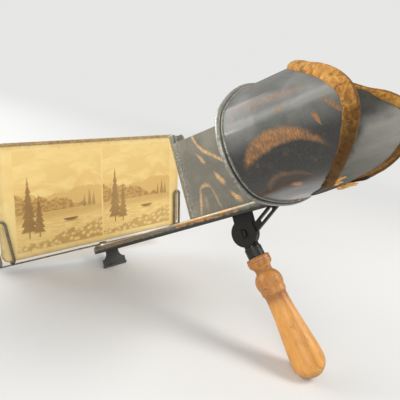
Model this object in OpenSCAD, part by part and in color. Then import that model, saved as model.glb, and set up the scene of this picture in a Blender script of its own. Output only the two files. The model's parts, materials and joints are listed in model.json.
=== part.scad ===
// Hand-held folding stereoscope, all sheet metal with a turned wooden handle.
// It lies as it is put down on a table: on the handle's end and on the
// carriage's finger tab, with the hood up and behind and the cards in front.
// World axes: +X to the user's right, +Y from the eyes to the cards, +Z up.
// Each piece is drawn on the rail first: x right, y along the rail from the
// eyes to the cards, z square up from the rail's top face, y = 0 at the
// septum's nose. place() then tips the rail nose-down onto the table.

/* [Sheet metal] */
// Thickness of the japanned tin plate
sheet = 0.7; // [0.5:0.1:1.2]

/* [Hood] */
// Full width of the hood
hood_w = 144; // [120:1:180]
// Radius of the upper sides; a larger one makes the hood taller and squarer
hood_side_r = 27; // [21:1.5:36]
// Radius of the lower sides; a larger one makes the hood deeper and squarer
hood_cheek_r = 32.8; // [28:0.8:38]
// Distance from the septum's nose back to the hood's front edge
hood_front = 83; // [70:1:100]
// Depth of the hood at the middle of the brow
brow_depth = 34; // [25:1:50]
// Radius of the curve cut for the forehead and temples
face_r = 83.5; // [75:0.5:100]
// Radius of the notch cut for the nose
nose_r = 36; // [28:1:42]
// Depth of the hood's floor at the middle of the nose notch
nose_depth = 17; // [13:1:25]
// Radius of the rolled front edge
bead_r = 1.5; // [1:0.1:2.5]

/* [Plush edging] */
// Width of the plush strip along the face edge
trim_w = 8; // [5:0.5:12]
// Thickness of the plush on each side of the sheet
trim_t = 1.6; // [0.8:0.2:3]

/* [Lenses] */
// Distance from the middle to each lens opening's centre
lens_x = 33; // [30:0.5:36]
// Height of the lens openings' centre above the rail's top face
lens_z = 33; // [28:1:38]
// Width of each lens opening
lens_open_w = 26; // [20:1:30]
// Height of each lens opening
lens_open_h = 32; // [26:1:38]
// Radius of the lens surfaces
lens_curve = 198; // [150:1:260]
// Thickness at the lens's optical centre
lens_mid_t = 4.6; // [3.6:0.1:6]
// Distance from the middle to the optical centre, on the thick outer edge
lens_axis_x = 46; // [42:1:48]

/* [Septum] */
// Outside thickness of the hollow septum
septum_t = 10.4; // [8:0.2:14]
// Height of the septum's top edge
septum_h = 59.5; // [48:0.5:66]
// Height of the rounded tab above that edge, over the nose
tab_h = 9; // [6.6:0.2:12]
// Radius of that tab, seen from the side
tab_r = 6.6; // [5:0.2:9]

/* [Rail] */
// Width of the rail
rail_w = 20; // [18:1:26]
// Height of the rail's folded sides
rail_h = 6; // [5:0.5:9]
// Length of the rail in front of the septum's nose
rail_len = 112; // [90:1:140]
// Radius of the rail's upper edges
rail_edge_r = 1.8; // [1:0.1:2.5]
// Width of the slot that guides the carriage
slot_w = 5; // [4:0.1:6]

/* [Cards] */
// Width of a stereo card
card_w = 178; // [170:1:180]
// Height of the front card
card_h = 88; // [82:1:92]
// Height of the two cards behind it
back_card_h = 91; // [84:1:95]
// Thickness of one mounted card
card_t = 1.4; // [0.8:0.1:2]
// Radius of a card's corners
card_corner = 6; // [3:0.5:10]
// How far the cards lean back toward the eyes, in degrees
card_lean = 22.8; // [10:0.2:26]
// How far the card holder is turned on its stud, in degrees
holder_turn = -11; // [-15:0.5:15]

/* [Card holder] */
// Distance from the septum's nose to the carriage's stud
stud_y = 103.5; // [60:0.5:103.5]
// Travel of the carriage toward the septum
travel = 66; // [40:1:70]
// Radius of the clip wire
wire_r = 1.1; // [0.8:0.1:1.5]
// Height of the front loops on the cards' faces
front_loop = 35; // [20:1:45]
// Height of the rear loops behind the cards
rear_loop = 58; // [35:1:70]
// Distance between the left loops' two legs; the right ones are narrower
loop_w = 10.1; // [8:0.1:14]
// How far the left front loop is bent outward, in degrees
splay = 10; // [0:1:12]

/* [Handle] */
// Distance from the septum's nose back to the handle's pivot
pivot_y = 42.2; // [36:0.1:52]
// Distance of the pivot below the rail's top face
pivot_z = 20; // [17:0.5:24]
// Radius of the hinge disc
disc_r = 10; // [9:0.1:11]
// Thickness of the handle's tongue
tongue_t = 2.6; // [2:0.1:4]
// Thickness of each of the bracket's two lugs
lug_t = 1.5; // [1.2:0.1:3]
// Lean of the open handle from square to the rail, in degrees
handle_lean = 12.9; // [5:0.1:15]
// Distance from the pivot to the handle's far end
handle_len = 107; // [95:1:120]
// Radius of the handle's round end
grip_end_r = 11.6; // [10:0.1:13]
// Radius of the pivot screw's shank
pivot_r = 2; // [1.5:0.1:2.5]

/* [Hidden] */
$fn = 72;
e = 0.02;
run = 0.08;                                  // running clearance, per side

// hood section: two wide arcs joined by round sides, all tangent; the wide
// arcs meet the sides on lines of slope 4:3 above and 63:16 below
hw = hood_w / 2;
hood_bot = -rail_h - sheet - 0.3;            // the rail lies on the hood's floor
ax = hw - hood_side_r;
bx = hw - hood_cheek_r;
hood_mid = hood_bot + hood_cheek_r + bx / 8; // its widest level
hood_top = hood_mid + hood_side_r + ax / 3;
top_c = hood_mid - 4 / 3 * ax;
top_r = 5 / 3 * ax + hood_side_r;
bot_c = hood_mid + 63 / 16 * bx;
bot_r = 65 / 16 * bx + hood_cheek_r;
reach_up = hood_w * 5 / 18;                  // how far the section's sectors reach
reach_down = hood_w / 48;
front_y = -hood_front;
face_y = front_y - brow_depth - face_r;      // centre of the face curve
nose_y = front_y - nose_depth - nose_r;      // centre of the nose notch
hood_len = brow_depth + face_r - sqrt(face_r * face_r - hw * hw) + 6;
board_y = front_y - 3;                       // front face of the lens board
board_back = board_y - sheet;
rail_back = front_y - nose_depth + trim_w + 0.5;
rivet_y = rail_back + 2.1;                   // rail's rivets, through the hood's floor
rivet_r = 0.8;

lens_w = lens_open_w + 3;
lens_h = lens_open_h + 3;
lens_mid_y = board_back - 0.1 - lens_mid_t / 2;
lens_r_off = lens_curve - lens_mid_t / 2;
frame_d = lens_mid_t + 0.2;                  // depth of the pressed frame's pocket

septum_r = septum_t / 2;
nose_tip = 1;                                // septum's nose stands this far ahead
nose_c = nose_tip - septum_r;
tab_c = nose_tip - 3;                        // middle of the rounded tab
septum_back = board_y + 0.05;
tab_ys = [-14, -45, -72];                    // septum's clinched tabs

slot_front = stud_y + 2.4;
slot_back = stud_y - travel - 2.4;

// card holder, drawn about the stud's axis, y forward, z from the rail's top
washer_t = 1.2;
bar_t = 1;
bar_z = washer_t;
seat_z = bar_z + bar_t + 2 * wire_r;         // what the cards stand on
wire_z = bar_z + bar_t + wire_r;
gap = 0.3;
fit = 0.15;                                  // between curved sheets that lie together
card_y = -2.2;                               // front card's lower front edge
stack = 3 * card_t + 0.1;
// centre of a loop's plane at the wire's level, for a plane w behind the face
function plane_y(w) = let (u = (wire_z - seat_z - w * sin(card_lean)) / cos(card_lean))
    card_y + w * cos(card_lean) - u * sin(card_lean);
wf = -(wire_r + gap);
wb = stack + wire_r + gap;
yf = plane_y(wf);
yb = plane_y(wb);
function leg_gap(s) = s > 0 ? 0.6 * loop_w : loop_w;
function lean_out(s) = s > 0 ? 0 : splay;
function inner_x(s) = card_w / 2 - (s > 0 ? 5.2 : 7.4);
function outer_x(s) = inner_x(s) + leg_gap(s) / cos(lean_out(s));
function end_x(s) = inner_x(s) + 2.5;
bend_r = 2;                                  // middle line of the wire's bends
lap = 0.25;
bar_w = 12;                                  // crossbar's width at the stud and at its ends
bar_end = 7;
bar_mid = (yf + yb) / 2;

guide_w = rail_w - 2 * sheet - 0.8;
leaf_t = 0.3;                                // friction spring's leaf
leaf_bow = 0.55;
leaf_w = 13.2;
guide_z = -sheet - leaf_bow - leaf_t - 0.1;  // guide plate's upper face
guide_t = 1.2;
tab_y = stud_y - 9;                          // finger tab, below the rail
foot_r = 1.4;
foot_z = -18.6;
foot_w = 26;

// where the part touches the table: the handle's round end and the finger tab
grip_flat = 0.5;
end_d = handle_len - grip_end_r;
end_y = -pivot_y - end_d * sin(handle_lean);
end_z = -pivot_z - end_d * cos(handle_lean);
end_r = grip_end_r - grip_flat;
span = sqrt(pow(tab_y - end_y, 2) + pow(foot_z - end_z, 2));
pitch = atan2(foot_z - end_z, tab_y - end_y) + asin((end_r - foot_r) / span);
floor_drop = end_r - (-end_y * sin(pitch) + end_z * cos(pitch));
shift_x = 4;                              // puts the middle of the whole at the origin
shift_y = 2.64;

// tips a piece from the rail onto the table
module place() {
    translate([shift_x, shift_y, floor_drop]) rotate([-pitch, 0, 0]) children();
}

// turns a drawing in the x-z plane into a solid that runs back from y = y0
module back_from(y0, depth) {
    translate([0, y0, 0]) rotate([90, 0, 0]) linear_extrude(depth) children();
}

// a bar cut by a side view (y across, z up), thick along x
module side(x0, x1) {
    translate([x0, 0, 0]) rotate([90, 0, 90]) linear_extrude(x1 - x0) children();
}

module mirrored() {
    children();
    mirror([1, 0, 0]) children();
}

// the four sectors that the hood's section is made of, cut along the lines
// where its arcs meet
module top_zone() translate([0, hood_mid])
    polygon([[-ax, 0], [ax, 0], [ax + 3 * reach_up, 4 * reach_up], [-ax - 3 * reach_up, 4 * reach_up]]);
module side_zone() translate([ax, hood_mid])
    polygon([[0, 0], [4 * reach_up, 0], [4 * reach_up, 4 * reach_up], [3 * reach_up, 4 * reach_up]]);
module cheek_zone() translate([bx, hood_mid])
    polygon([[0, 0], [16 * reach_down, -63 * reach_down], [63 * reach_down, -63 * reach_down],
        [63 * reach_down, 0]]);
module floor_zone() translate([0, hood_mid])
    polygon([[-bx, 0], [bx, 0], [bx + 16 * reach_down, -63 * reach_down],
        [-bx - 16 * reach_down, -63 * reach_down]]);

// hood's section grown by d: true arcs about fixed centres
module oval(d) {
    intersection() {
        translate([0, top_c]) circle(top_r + d, $fn = 240);
        top_zone();
    }
    intersection() {
        translate([0, bot_c]) circle(bot_r + d, $fn = 300);
        floor_zone();
    }
    mirrored() {
        intersection() {
            translate([ax, hood_mid]) circle(hood_side_r + d, $fn = 120);
            side_zone();
        }
        intersection() {
            translate([bx, hood_mid]) circle(hood_cheek_r + d, $fn = 120);
            cheek_zone();
        }
    }
}

module band(outer, inner) {
    difference() {
        oval(outer);
        oval(inner);
    }
}

// round wire along the hood's section, its centre d outside the hood's face
module ring(y0, d, r) {
    translate([0, y0, 0]) rotate([90, 0, 0]) {
        ring_part([0, top_c], top_r + d, r, 240) top_zone();
        ring_part([0, bot_c], bot_r + d, r, 300) floor_zone();
        mirrored() {
            ring_part([ax, hood_mid], hood_side_r + d, r, 120) side_zone();
            ring_part([bx, hood_mid], hood_cheek_r + d, r, 120) cheek_zone();
        }
    }
}

module ring_part(c, big, r, fn) {
    intersection() {
        translate([c[0], c[1], 0]) rotate_extrude($fn = fn) translate([big, 0]) circle(r, $fn = 16);
        translate([0, 0, -r - 1]) linear_extrude(2 * r + 2) children();
    }
}

// Hood

module face_cut(grow) {
    translate([0, face_y, hood_bot - 20])
        cylinder(r = face_r + grow, h = hood_top - hood_bot + 40, $fn = 180);
    translate([0, nose_y, hood_bot - 20])
        cylinder(r = nose_r + grow, h = 20 + 24, $fn = 120);
}

module hood() {
    color([0.10, 0.09, 0.08]) place() difference() {
        union() {
            back_from(front_y, hood_len) band(0, -sheet);
            // rolled front edge and the ring swaged behind it
            ring(front_y - bead_r, bead_r - sheet + 0.15, bead_r);
            ring(front_y - 2 * bead_r - 0.9, 0.1, 0.7);
        }
        face_cut(0);
        for (x = [-5, 5]) translate([x, rivet_y, hood_bot - 1]) cylinder(r = rivet_r + 0.05, h = 3, $fn = 24);
    }
}

module hood_trim() {
    color([0.55, 0.36, 0.17]) place() difference() {
        intersection() {
            back_from(front_y - 6, hood_len) band(trim_t, -sheet - trim_t);
            face_cut(trim_w);
        }
        face_cut(-trim_t);
        // the sheet it is folded over
        difference() {
            back_from(front_y - 5, hood_len + 4) band(0.12, -sheet - 0.12);
            face_cut(-0.12);
        }
    }
}

// Lens board and lenses

module lens_window(w, h, r) {
    difference() {
        square([w, h], center = true);
        for (sx = [-1, 1], sy = [-1, 1]) translate([sx * (w / 2 - r), sy * (h / 2 - r)])
            difference() {
                translate([sx > 0 ? 0 : -r - 1, sy > 0 ? 0 : -r - 1]) square(r + 1);
                circle(r, $fn = 32);
            }
    }
}

module frame_screw_spots() {
    for (s = [-1, 1], v = [-1, 1])
        translate([s * lens_x, 0, lens_z + v * (lens_h / 2 + 3.4)]) children();
}

module lens_board() {
    color([0.14, 0.12, 0.11]) place() difference() {
        union() {
            back_from(board_y, sheet) oval(-sheet - fit);
            // turned-back rim that fits inside the hood
            difference() {
                back_from(board_y, 6) oval(-sheet - fit);
                back_from(board_y + 1, 8) oval(-2 * sheet - fit);
            }
        }
        for (s = [-1, 1])
            back_from(board_y + 1, sheet + 2) translate([s * lens_x, lens_z])
                lens_window(lens_open_w, lens_open_h, 4);
        frame_screw_spots() rotate([90, 0, 0]) translate([0, 0, -board_y - 2])
            cylinder(r = 1, h = 4, $fn = 24);
        // the rail passes under the board
        translate([-rail_w / 2 - 0.2, board_y - 8, hood_bot - 1])
            cube([rail_w + 0.4, 12, 1.2 - hood_bot]);
        // holes for the septum's rear lugs
        for (s = [-1, 1]) septum_lug_spots(s) rotate([90, 0, 0])
            cylinder(r = 0.8, h = 4, center = true, $fn = 20);
    }
}

lug_zs = [14, 46];

module septum_lug_spots(s) {
    for (z = lug_zs) translate([s * (septum_r + 2.6), board_y, z]) children();
}

module lens(s) {
    color([0.82, 0.90, 0.92, 0.6]) place() intersection() {
        translate([s * lens_x - lens_w / 2, lens_mid_y - lens_mid_t, lens_z - lens_h / 2])
            cube([lens_w, 2 * lens_mid_t, lens_h]);
        translate([s * lens_axis_x, lens_mid_y - lens_r_off, lens_z])
            rotate([90, 0, 0]) sphere(lens_curve, $fn = 360);
        translate([s * lens_axis_x, lens_mid_y + lens_r_off, lens_z])
            rotate([90, 0, 0]) sphere(lens_curve, $fn = 360);
    }
}

module left_lens() lens(-1);
module right_lens() lens(1);

// pressed frame that holds a lens against the board's back
module lens_frame(s) {
    color([0.20, 0.18, 0.16]) place() translate([s * lens_x, board_back, lens_z]) difference() {
        union() {
            back_from(-0.05, sheet) lens_window(lens_w + 4, lens_h + 12, 3);
            back_from(-0.05, frame_d + sheet)
                lens_window(lens_w + 2 * sheet + 0.4, lens_h + 2 * sheet + 0.4, 2);
        }
        back_from(1, frame_d + 1) square([lens_w + 0.4, lens_h + 0.4], center = true);
        back_from(1, frame_d + 4) lens_window(lens_open_w - 1, lens_open_h - 1, 4);
        for (v = [-1, 1]) translate([0, 1, v * (lens_h / 2 + 3.4)]) rotate([90, 0, 0])
            cylinder(r = 1, h = 4, $fn = 24);
    }
}

module left_lens_frame() lens_frame(-1);
module right_lens_frame() lens_frame(1);

module lens_frame_screws() {
    color([0.55, 0.50, 0.38]) place() frame_screw_spots() {
        // shank through the board and head behind the frame
        translate([0, board_y + 0.6, 0]) rotate([90, 0, 0]) cylinder(r = 0.95, h = 3, $fn = 24);
        difference() {
            translate([0, board_back - sheet - 0.05, 0]) rotate([90, 0, 0])
                cylinder(r1 = 1.9, r2 = 1.3, h = 1, $fn = 32);
            translate([-3, board_back - sheet - 1.6, -0.2]) cube([6, 1, 0.4]);
        }
    }
}

// Septum

module septum_plan(r, back) {
    translate([0, nose_c]) circle(r, $fn = 64);
    translate([-r, back]) square([2 * r, nose_c - back]);
}

module septum() {
    color([0.16, 0.14, 0.13]) place() {
        difference() {
            linear_extrude(septum_h + tab_h) difference() {
                septum_plan(septum_r, septum_back);
                septum_plan(septum_r - sheet, septum_back - 1);
            }
            // square top edge behind the tab
            translate([-20, septum_back - 1, septum_h]) cube([40, tab_c - tab_r - septum_back + 1, 20]);
            // rounded tab over the nose, left out of the near wall
            translate([-20, tab_c - tab_r - 1, septum_h]) cube([20, nose_c - tab_c + tab_r + 1, 20]);
            side(-20, 20) translate([tab_c, septum_h + tab_h - tab_r]) difference() {
                translate([-tab_r - 1, 0]) square([2 * tab_r + 12, 20]);
                circle(tab_r, $fn = 72);
            }
            translate([0, nose_c + 15, septum_h + tab_h - septum_r - 0.6]) rotate([90, 0, 0]) linear_extrude(30)
                difference() {
                    translate([-20, 0]) square([40, 20]);
                    circle(septum_r + 0.6, $fn = 64);
                }
        }
        // seam down the near wall, behind the nose
        translate([-septum_r, nose_c, 0.5]) rotate([2.35, 0, 0]) cylinder(r = 0.45, h = septum_h - 2, $fn = 24);
        for (s = [-1, 1]) {
            // clinched tabs through the rail's top
            for (y = tab_ys) {
                translate([s * (septum_r - sheet / 2) - sheet / 2, y - 4, -2]) cube([sheet, 8, 2 + e]);
                translate([s > 0 ? septum_r - sheet : -septum_r - 1.6, y - 4, -2])
                    cube([1.6 + sheet, 8, sheet + 0.5]);
            }
            // rear lugs flat on the lens board
            septum_lug(s);
        }
    }
}

module septum_lug(s) {
    for (z = lug_zs) difference() {
        translate([s > 0 ? septum_r - sheet : -septum_r - 5, septum_back, z - 4]) cube([5 + sheet, sheet, 8]);
        translate([s * (septum_r + 2.6), septum_back + 1, z]) rotate([90, 0, 0])
            cylinder(r = 0.8, h = 4, center = true, $fn = 20);
    }
}

module septum_rivets() {
    color([0.50, 0.46, 0.36]) place() for (s = [-1, 1]) septum_lug_spots(s) {
        rotate([90, 0, 0]) cylinder(r = 0.75, h = 2 * sheet + 0.3, center = true, $fn = 20);
        translate([0, sheet + 0.05, 0]) rotate([-90, 0, 0]) cylinder(r1 = 1.5, r2 = 0.9, h = 0.7, $fn = 28);
        translate([0, -sheet - 0.1, 0]) rotate([90, 0, 0]) cylinder(r1 = 1.4, r2 = 0.9, h = 0.6, $fn = 28);
    }
}

// Rail

// folded channel, its upper edges rounded, open below
module rail_profile(w, h, r) {
    difference() {
        translate([-w, -h]) square([2 * w, h]);
        for (s = [-1, 1]) difference() {
            translate([s > 0 ? w - r : -w - 1, -r]) square([r + 1, r + 1]);
            translate([s * (w - r), -r]) circle(r, $fn = 32);
        }
    }
}

module rail_solid(w, h, r, y_end, y_rear) {
    translate([0, y_end, 0]) rotate([90, 0, 0]) linear_extrude(y_end - y_rear) rail_profile(w, h, r);
    translate([0, y_end, 0]) rotate_extrude(angle = 180, $fn = 72) intersection() {
        rail_profile(w, h, r);
        translate([0, -h - 1]) square([w + 1, h + 2]);
    }
}

module rail() {
    color([0.45, 0.40, 0.33]) place() difference() {
        rail_solid(rail_w / 2, rail_h, rail_edge_r, rail_len - rail_w / 2, rail_back);
        translate([0, 0, -sheet])
            rail_solid(rail_w / 2 - sheet, rail_h + 1, rail_edge_r - sheet / 2, rail_len - rail_w / 2,
                rail_back - 1);
        // slot for the carriage's stud
        translate([-slot_w / 2, slot_back + slot_w / 2, -3])
            cube([slot_w, slot_front - slot_back - slot_w, 5]);
        for (y = [slot_back + slot_w / 2, slot_front - slot_w / 2])
            translate([0, y, -3]) cylinder(r = slot_w / 2, h = 5, $fn = 40);
        // slots for the septum's tabs
        for (s = [-1, 1], y = tab_ys)
            translate([s * (septum_r - sheet / 2) - sheet / 2 - 0.1, y - 4.1, -3])
                cube([sheet + 0.2, 8.2, 5]);
        for (y = bracket_ys) translate([0, y, -3]) cylinder(r = 1.6, h = 5, $fn = 32);
        for (x = [-5, 5]) translate([x, rivet_y, -3]) cylinder(r = rivet_r + 0.05, h = 5, $fn = 24);
    }
}

// rivets that hold the rail's rear end to the hood's floor, through a filler strip
module rail_rivets() {
    color([0.50, 0.46, 0.36]) place() for (x = [-5, 5]) translate([x, rivet_y, 0]) {
        translate([0, 0, hood_bot - 0.2]) cylinder(r = rivet_r, h = -hood_bot + 0.4, $fn = 24);
        translate([0, 0, hood_bot - 0.9]) cylinder(r1 = rivet_r + 0.2, r2 = 2 * rivet_r, h = 0.85, $fn = 32);
        translate([0, 0, 0.05]) cylinder(r1 = 2 * rivet_r, r2 = rivet_r + 0.2, h = 0.8, $fn = 32);
    }
}

module rail_filler() {
    color([0.30, 0.22, 0.15]) place() difference() {
        back_from(rail_back + 7.3, 7) translate([0, -sheet - 0.05])
            rail_profile(rail_w / 2 - sheet - 0.15, rail_h - sheet - 0.1, rail_edge_r - 0.3);
        for (x = [-5, 5]) translate([x, rivet_y, -rail_h - 1]) cylinder(r = rivet_r + 0.05, h = rail_h + 2, $fn = 24);
    }
}

// Handle bracket

bracket_ys = [-pivot_y + 2, -pivot_y - 31];
pad_z = -sheet - 0.05;
pad_t = 2.6;
brace_w = 5.6;
brace_len = 28;
hinge_t = tongue_t / 2 + lug_t;              // half the hinge's thickness

// hinge disc and the neck that joins it to the pad
module bracket_lug() {
    translate([-pivot_y, -pivot_z]) circle(disc_r, $fn = 72);
    translate([-pivot_y - 0.88 * disc_r, -pivot_z]) square([1.42 * disc_r, pivot_z + pad_z - 1]);
}

// slotted brace from the disc up to the pad's rear
module bracket_brace() {
    translate([-pivot_y - 0.8 * disc_r, 1 - pivot_z]) rotate(147.3) difference() {
        union() {
            translate([0, -brace_w / 2]) square([brace_len, brace_w]);
            circle(brace_w / 2, $fn = 40);
            translate([brace_len, 0]) circle(brace_w / 2, $fn = 40);
        }
        translate([8.5, -1.1]) square([12, 2.2]);
        for (u = [8.5, 20.5]) translate([u, 0]) circle(1.1, $fn = 24);
    }
}

module handle_bracket() {
    color([0.07, 0.07, 0.06]) place() difference() {
        union() {
            side(-hinge_t, hinge_t) bracket_lug();
            side(-1.6, 1.6) bracket_brace();
            // pad inside the rail
            back_from(-pivot_y + 8, 48) translate([0, pad_z])
                rail_profile(rail_w / 2 - sheet - 0.3, pad_t, rail_edge_r - 0.3);
        }
        // gap for the handle's tongue
        side(-tongue_t / 2 - run, tongue_t / 2 + run) {
            translate([-pivot_y, -pivot_z]) circle(disc_r + 0.6, $fn = 72);
            translate([-pivot_y - 1.5, -pivot_z - disc_r - 2]) square([disc_r + 20, disc_r + 4]);
        }
        translate([-12, -pivot_y, -pivot_z]) rotate([0, 90, 0]) cylinder(r = pivot_r + run, h = 24, $fn = 40);
        for (y = bracket_ys) translate([0, y, pad_z - pad_t - 0.2]) cylinder(r = 1.5, h = pad_t + 1, $fn = 32);
        // clearance under the rail's septum tabs
        for (s = [-1, 1], y = tab_ys)
            translate([s > 0 ? septum_r - sheet - 0.4 : -septum_r - 2, y - 4.4, -2.4])
                cube([2.4 + sheet, 8.8, 3]);
    }
}

module bracket_screws() {
    color([0.35, 0.33, 0.30]) place() for (y = bracket_ys) translate([0, y, 0]) difference() {
        union() {
            translate([0, 0, pad_z - pad_t + 0.2]) cylinder(r = 1.45, h = pad_t + sheet + 0.1, $fn = 32);
            translate([0, 0, 0.05]) cylinder(r1 = 2.9, r2 = 2.1, h = 1.3, $fn = 36);
        }
        translate([-4, -0.3, 0.85]) cube([8, 0.6, 2]);
    }
}

module pivot_screw() {
    color([0.30, 0.28, 0.25]) place() translate([0, -pivot_y, -pivot_z]) rotate([0, 90, 0]) difference() {
        union() {
            translate([0, 0, -hinge_t - 0.6]) cylinder(r = pivot_r, h = 2 * hinge_t + 3, $fn = 40);
            translate([0, 0, -hinge_t - 1.65]) cylinder(r1 = 2.6, r2 = 3.2, h = 1.6, $fn = 40);
        }
        translate([-5, -0.4, -hinge_t - 2.4]) cube([10, 0.8, 1.3]);
    }
}

module pivot_nut() {
    color([0.25, 0.24, 0.22]) place() translate([0, -pivot_y, -pivot_z]) rotate([0, 90, 0]) difference() {
        translate([0, 0, hinge_t + 0.05]) cylinder(r = 3.8, h = 2, $fn = 6);
        cylinder(r = pivot_r, h = 20, $fn = 40);
    }
}

// Handle

// draws in the handle's own frame, from the pivot down the open handle
module on_handle() {
    place() translate([0, -pivot_y, -pivot_z]) rotate([-handle_lean, 0, 0]) children();
}

ferrule_top = -disc_r - 0.9;
ferrule_bot = -18.4;

module handle_ferrule() {
    color([0.08, 0.08, 0.07]) on_handle() difference() {
        union() {
            // disc tongue
            translate([-tongue_t / 2, 0, 0]) rotate([0, 90, 0]) cylinder(r = disc_r, h = tongue_t, $fn = 72);
            translate([-tongue_t / 2, -disc_r * 0.55, ferrule_top - 1.2]) cube([tongue_t, disc_r * 1.1, disc_r - 1]);
            // cup, its upper edge turned off a little
            translate([0, 0, ferrule_bot]) cylinder(r = 6.2, h = ferrule_top - ferrule_bot - 0.6, $fn = 56);
            translate([0, 0, ferrule_top - 0.6]) cylinder(r1 = 6.2, r2 = 5.6, h = 0.6, $fn = 56);
        }
        translate([-20, 0, 0]) rotate([0, 90, 0]) cylinder(r = pivot_r + run, h = 40, $fn = 40);
        translate([0, 0, ferrule_bot - 2]) cylinder(r = 4.6, h = 7, $fn = 48);
        translate([0, 0, ferrule_bot - 2]) cylinder(r = 1.6, h = 12, $fn = 32);
        pin_hole(0.8);
    }
}

// turned outline, distance from the axis against distance below the pivot
module grip_outline() {
    // collar with rounded rims, drawn into the ferrule by a spigot
    translate([0, 14]) square([4.5, 6]);
    translate([0, 18.6]) square([7.2, 6.2]);
    translate([7.2, 20]) circle(1.4, $fn = 32);
    translate([7.2, 23.4]) circle(1.4, $fn = 32);
    translate([0, 20]) square([8.6, 3.4]);
    // cove down to the neck
    difference() {
        translate([0, 24]) square([8.2, 7.5]);
        translate([9.9, 28.6]) circle(3.9, $fn = 48);
    }
    // ball
    translate([0, 37.8]) circle(9.8, $fn = 72);
    // cove under the ball
    difference() {
        translate([0, 42]) square([8.8, 8]);
        translate([12.4, 48.6]) circle(4.7, $fn = 48);
    }
    // long swelling
    polygon([[0, 48], [7.7, 48], [7.9, 53], [8.3, 60], [9.1, 68], [10.1, 77],
        [11.1, 86], [11.6, end_d - 2], [11.6, end_d], [0, end_d]]);
    translate([0, end_d]) circle(grip_end_r, $fn = 96);
}

module handle_grip() {
    color([0.80, 0.58, 0.30]) difference() {
        on_handle() rotate([180, 0, 0]) difference() {
            rotate_extrude($fn = 72) intersection() {
                grip_outline();
                square([40, 200]);
            }
            cylinder(r = 1.55, h = 46, $fn = 32);
            translate([0, 0, -ferrule_bot - 2.4]) rotate([90, 0, 0]) cylinder(r = 0.8, h = 20, center = true, $fn = 20);
        }
        // worn flat where it stands on the table
        translate([-50, -400, -20]) cube([100, 800, 20]);
    }
}

module pin_hole(r) {
    translate([0, 0, ferrule_bot + 2.4]) rotate([90, 0, 0]) cylinder(r = r, h = 20, center = true, $fn = 20);
}

module handle_tang() {
    color([0.40, 0.38, 0.36]) on_handle() difference() {
        translate([0, 0, -45]) cylinder(r = 1.5, h = 45 + ferrule_bot + 7, $fn = 32);
        pin_hole(0.8);
    }
}

module ferrule_pin() {
    color([0.35, 0.33, 0.30]) on_handle() translate([0, 0, ferrule_bot + 2.4]) rotate([90, 0, 0])
        cylinder(r = 0.75, h = 12.2, center = true, $fn = 20);
}

// Carriage

module at_stud() {
    translate([0, stud_y, 0]) children();
}

module guide_plate() {
    color([0.42, 0.40, 0.36]) place() difference() {
        union() {
            translate([-guide_w / 2, tab_y - 6, guide_z - guide_t]) cube([guide_w, stud_y - 2 - tab_y + 6, guide_t]);
            // round front that clears the rail's end
            intersection() {
                translate([0, rail_len - rail_w / 2, guide_z - guide_t]) cylinder(r = guide_w / 2, h = guide_t, $fn = 64);
                translate([-20, stud_y - 3, guide_z - 4]) cube([40, 7.5, 6]);
            }
        }
        at_stud() translate([0, 0, guide_z - 4]) cylinder(r = 1.55, h = 6, $fn = 32);
    }
}

module finger_tab() {
    neck = 7;
    w = foot_w / 2;
    color([0.12, 0.11, 0.10]) place() {
        // strip bent down from the guide plate
        translate([-neck, tab_y - 5, guide_z - guide_t - 1.25]) cube([2 * neck, 5.6, 1.2]);
        translate([-neck, tab_y - 0.6, -8]) cube([2 * neck, 1.2, 8 + guide_z - guide_t - 0.05]);
        // it widens below the rail and ends in a rolled edge
        translate([0, tab_y + 0.6, 0]) rotate([90, 0, 0]) linear_extrude(1.2) difference() {
            translate([-w, foot_z]) square([2 * w, -7 - foot_z]);
            mirrored() translate([w, -7]) circle(w - neck, $fn = 48);
        }
        translate([-w, tab_y, foot_z]) rotate([0, 90, 0]) cylinder(r = foot_r, h = 2 * w, $fn = 32);
    }
}

module slide_stud() {
    color([0.55, 0.50, 0.38]) place() at_stud() {
        // riveted tail, shoulder in the slot, journal and head
        translate([0, 0, guide_z - guide_t - 0.95]) cylinder(r1 = 1.9, r2 = 2.6, h = 0.9, $fn = 32);
        translate([0, 0, guide_z - guide_t - 0.2]) cylinder(r = 1.5, h = guide_t + 1, $fn = 32);
        translate([0, 0, guide_z + 0.05]) cylinder(r = slot_w / 2 - 0.2, h = -guide_z, $fn = 40);
        translate([0, 0, 0]) cylinder(r = 2, h = bar_z + bar_t + 0.15, $fn = 36);
        translate([0, 0, bar_z + bar_t + 0.1]) cylinder(r1 = 3.9, r2 = 2.9, h = 1.2, $fn = 40);
    }
}

module swivel_washer() {
    color([0.38, 0.35, 0.30]) place() at_stud() difference() {
        translate([0, 0, 0.05]) cylinder(r = 7.5, h = washer_t - 0.1, $fn = 48);
        translate([0, 0, -1]) cylinder(r = 2.05, h = 4, $fn = 36);
    }
}

// bowed leaf between the guide plate and the rail: it presses them apart, so
// that the washer and the plate grip the rail
module friction_spring() {
    big = (leaf_w * leaf_w / 4 + leaf_bow * leaf_bow) / (2 * leaf_bow);
    color([0.60, 0.55, 0.40]) place() translate([0, stud_y - 5.6, -sheet - 0.05]) intersection() {
        rotate([90, 0, 0]) difference() {
            translate([0, -big - leaf_t]) cylinder(r = big + leaf_t, h = 4.4, center = true, $fn = 240);
            translate([0, -big - leaf_t]) cylinder(r = big, h = 6, center = true, $fn = 240);
        }
        translate([-leaf_w / 2, -4, -4]) cube([leaf_w, 8, 6]);
    }
}

// Card holder

// draws in the holder's own frame, turned on the stud
module on_holder() {
    place() at_stud() rotate([0, 0, holder_turn]) children();
}

// leans a drawing with the cards: x along, y through the stack, z up the face
module leaned() {
    translate([0, card_y, seat_z]) rotate([card_lean, 0, 0]) children();
}

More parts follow.
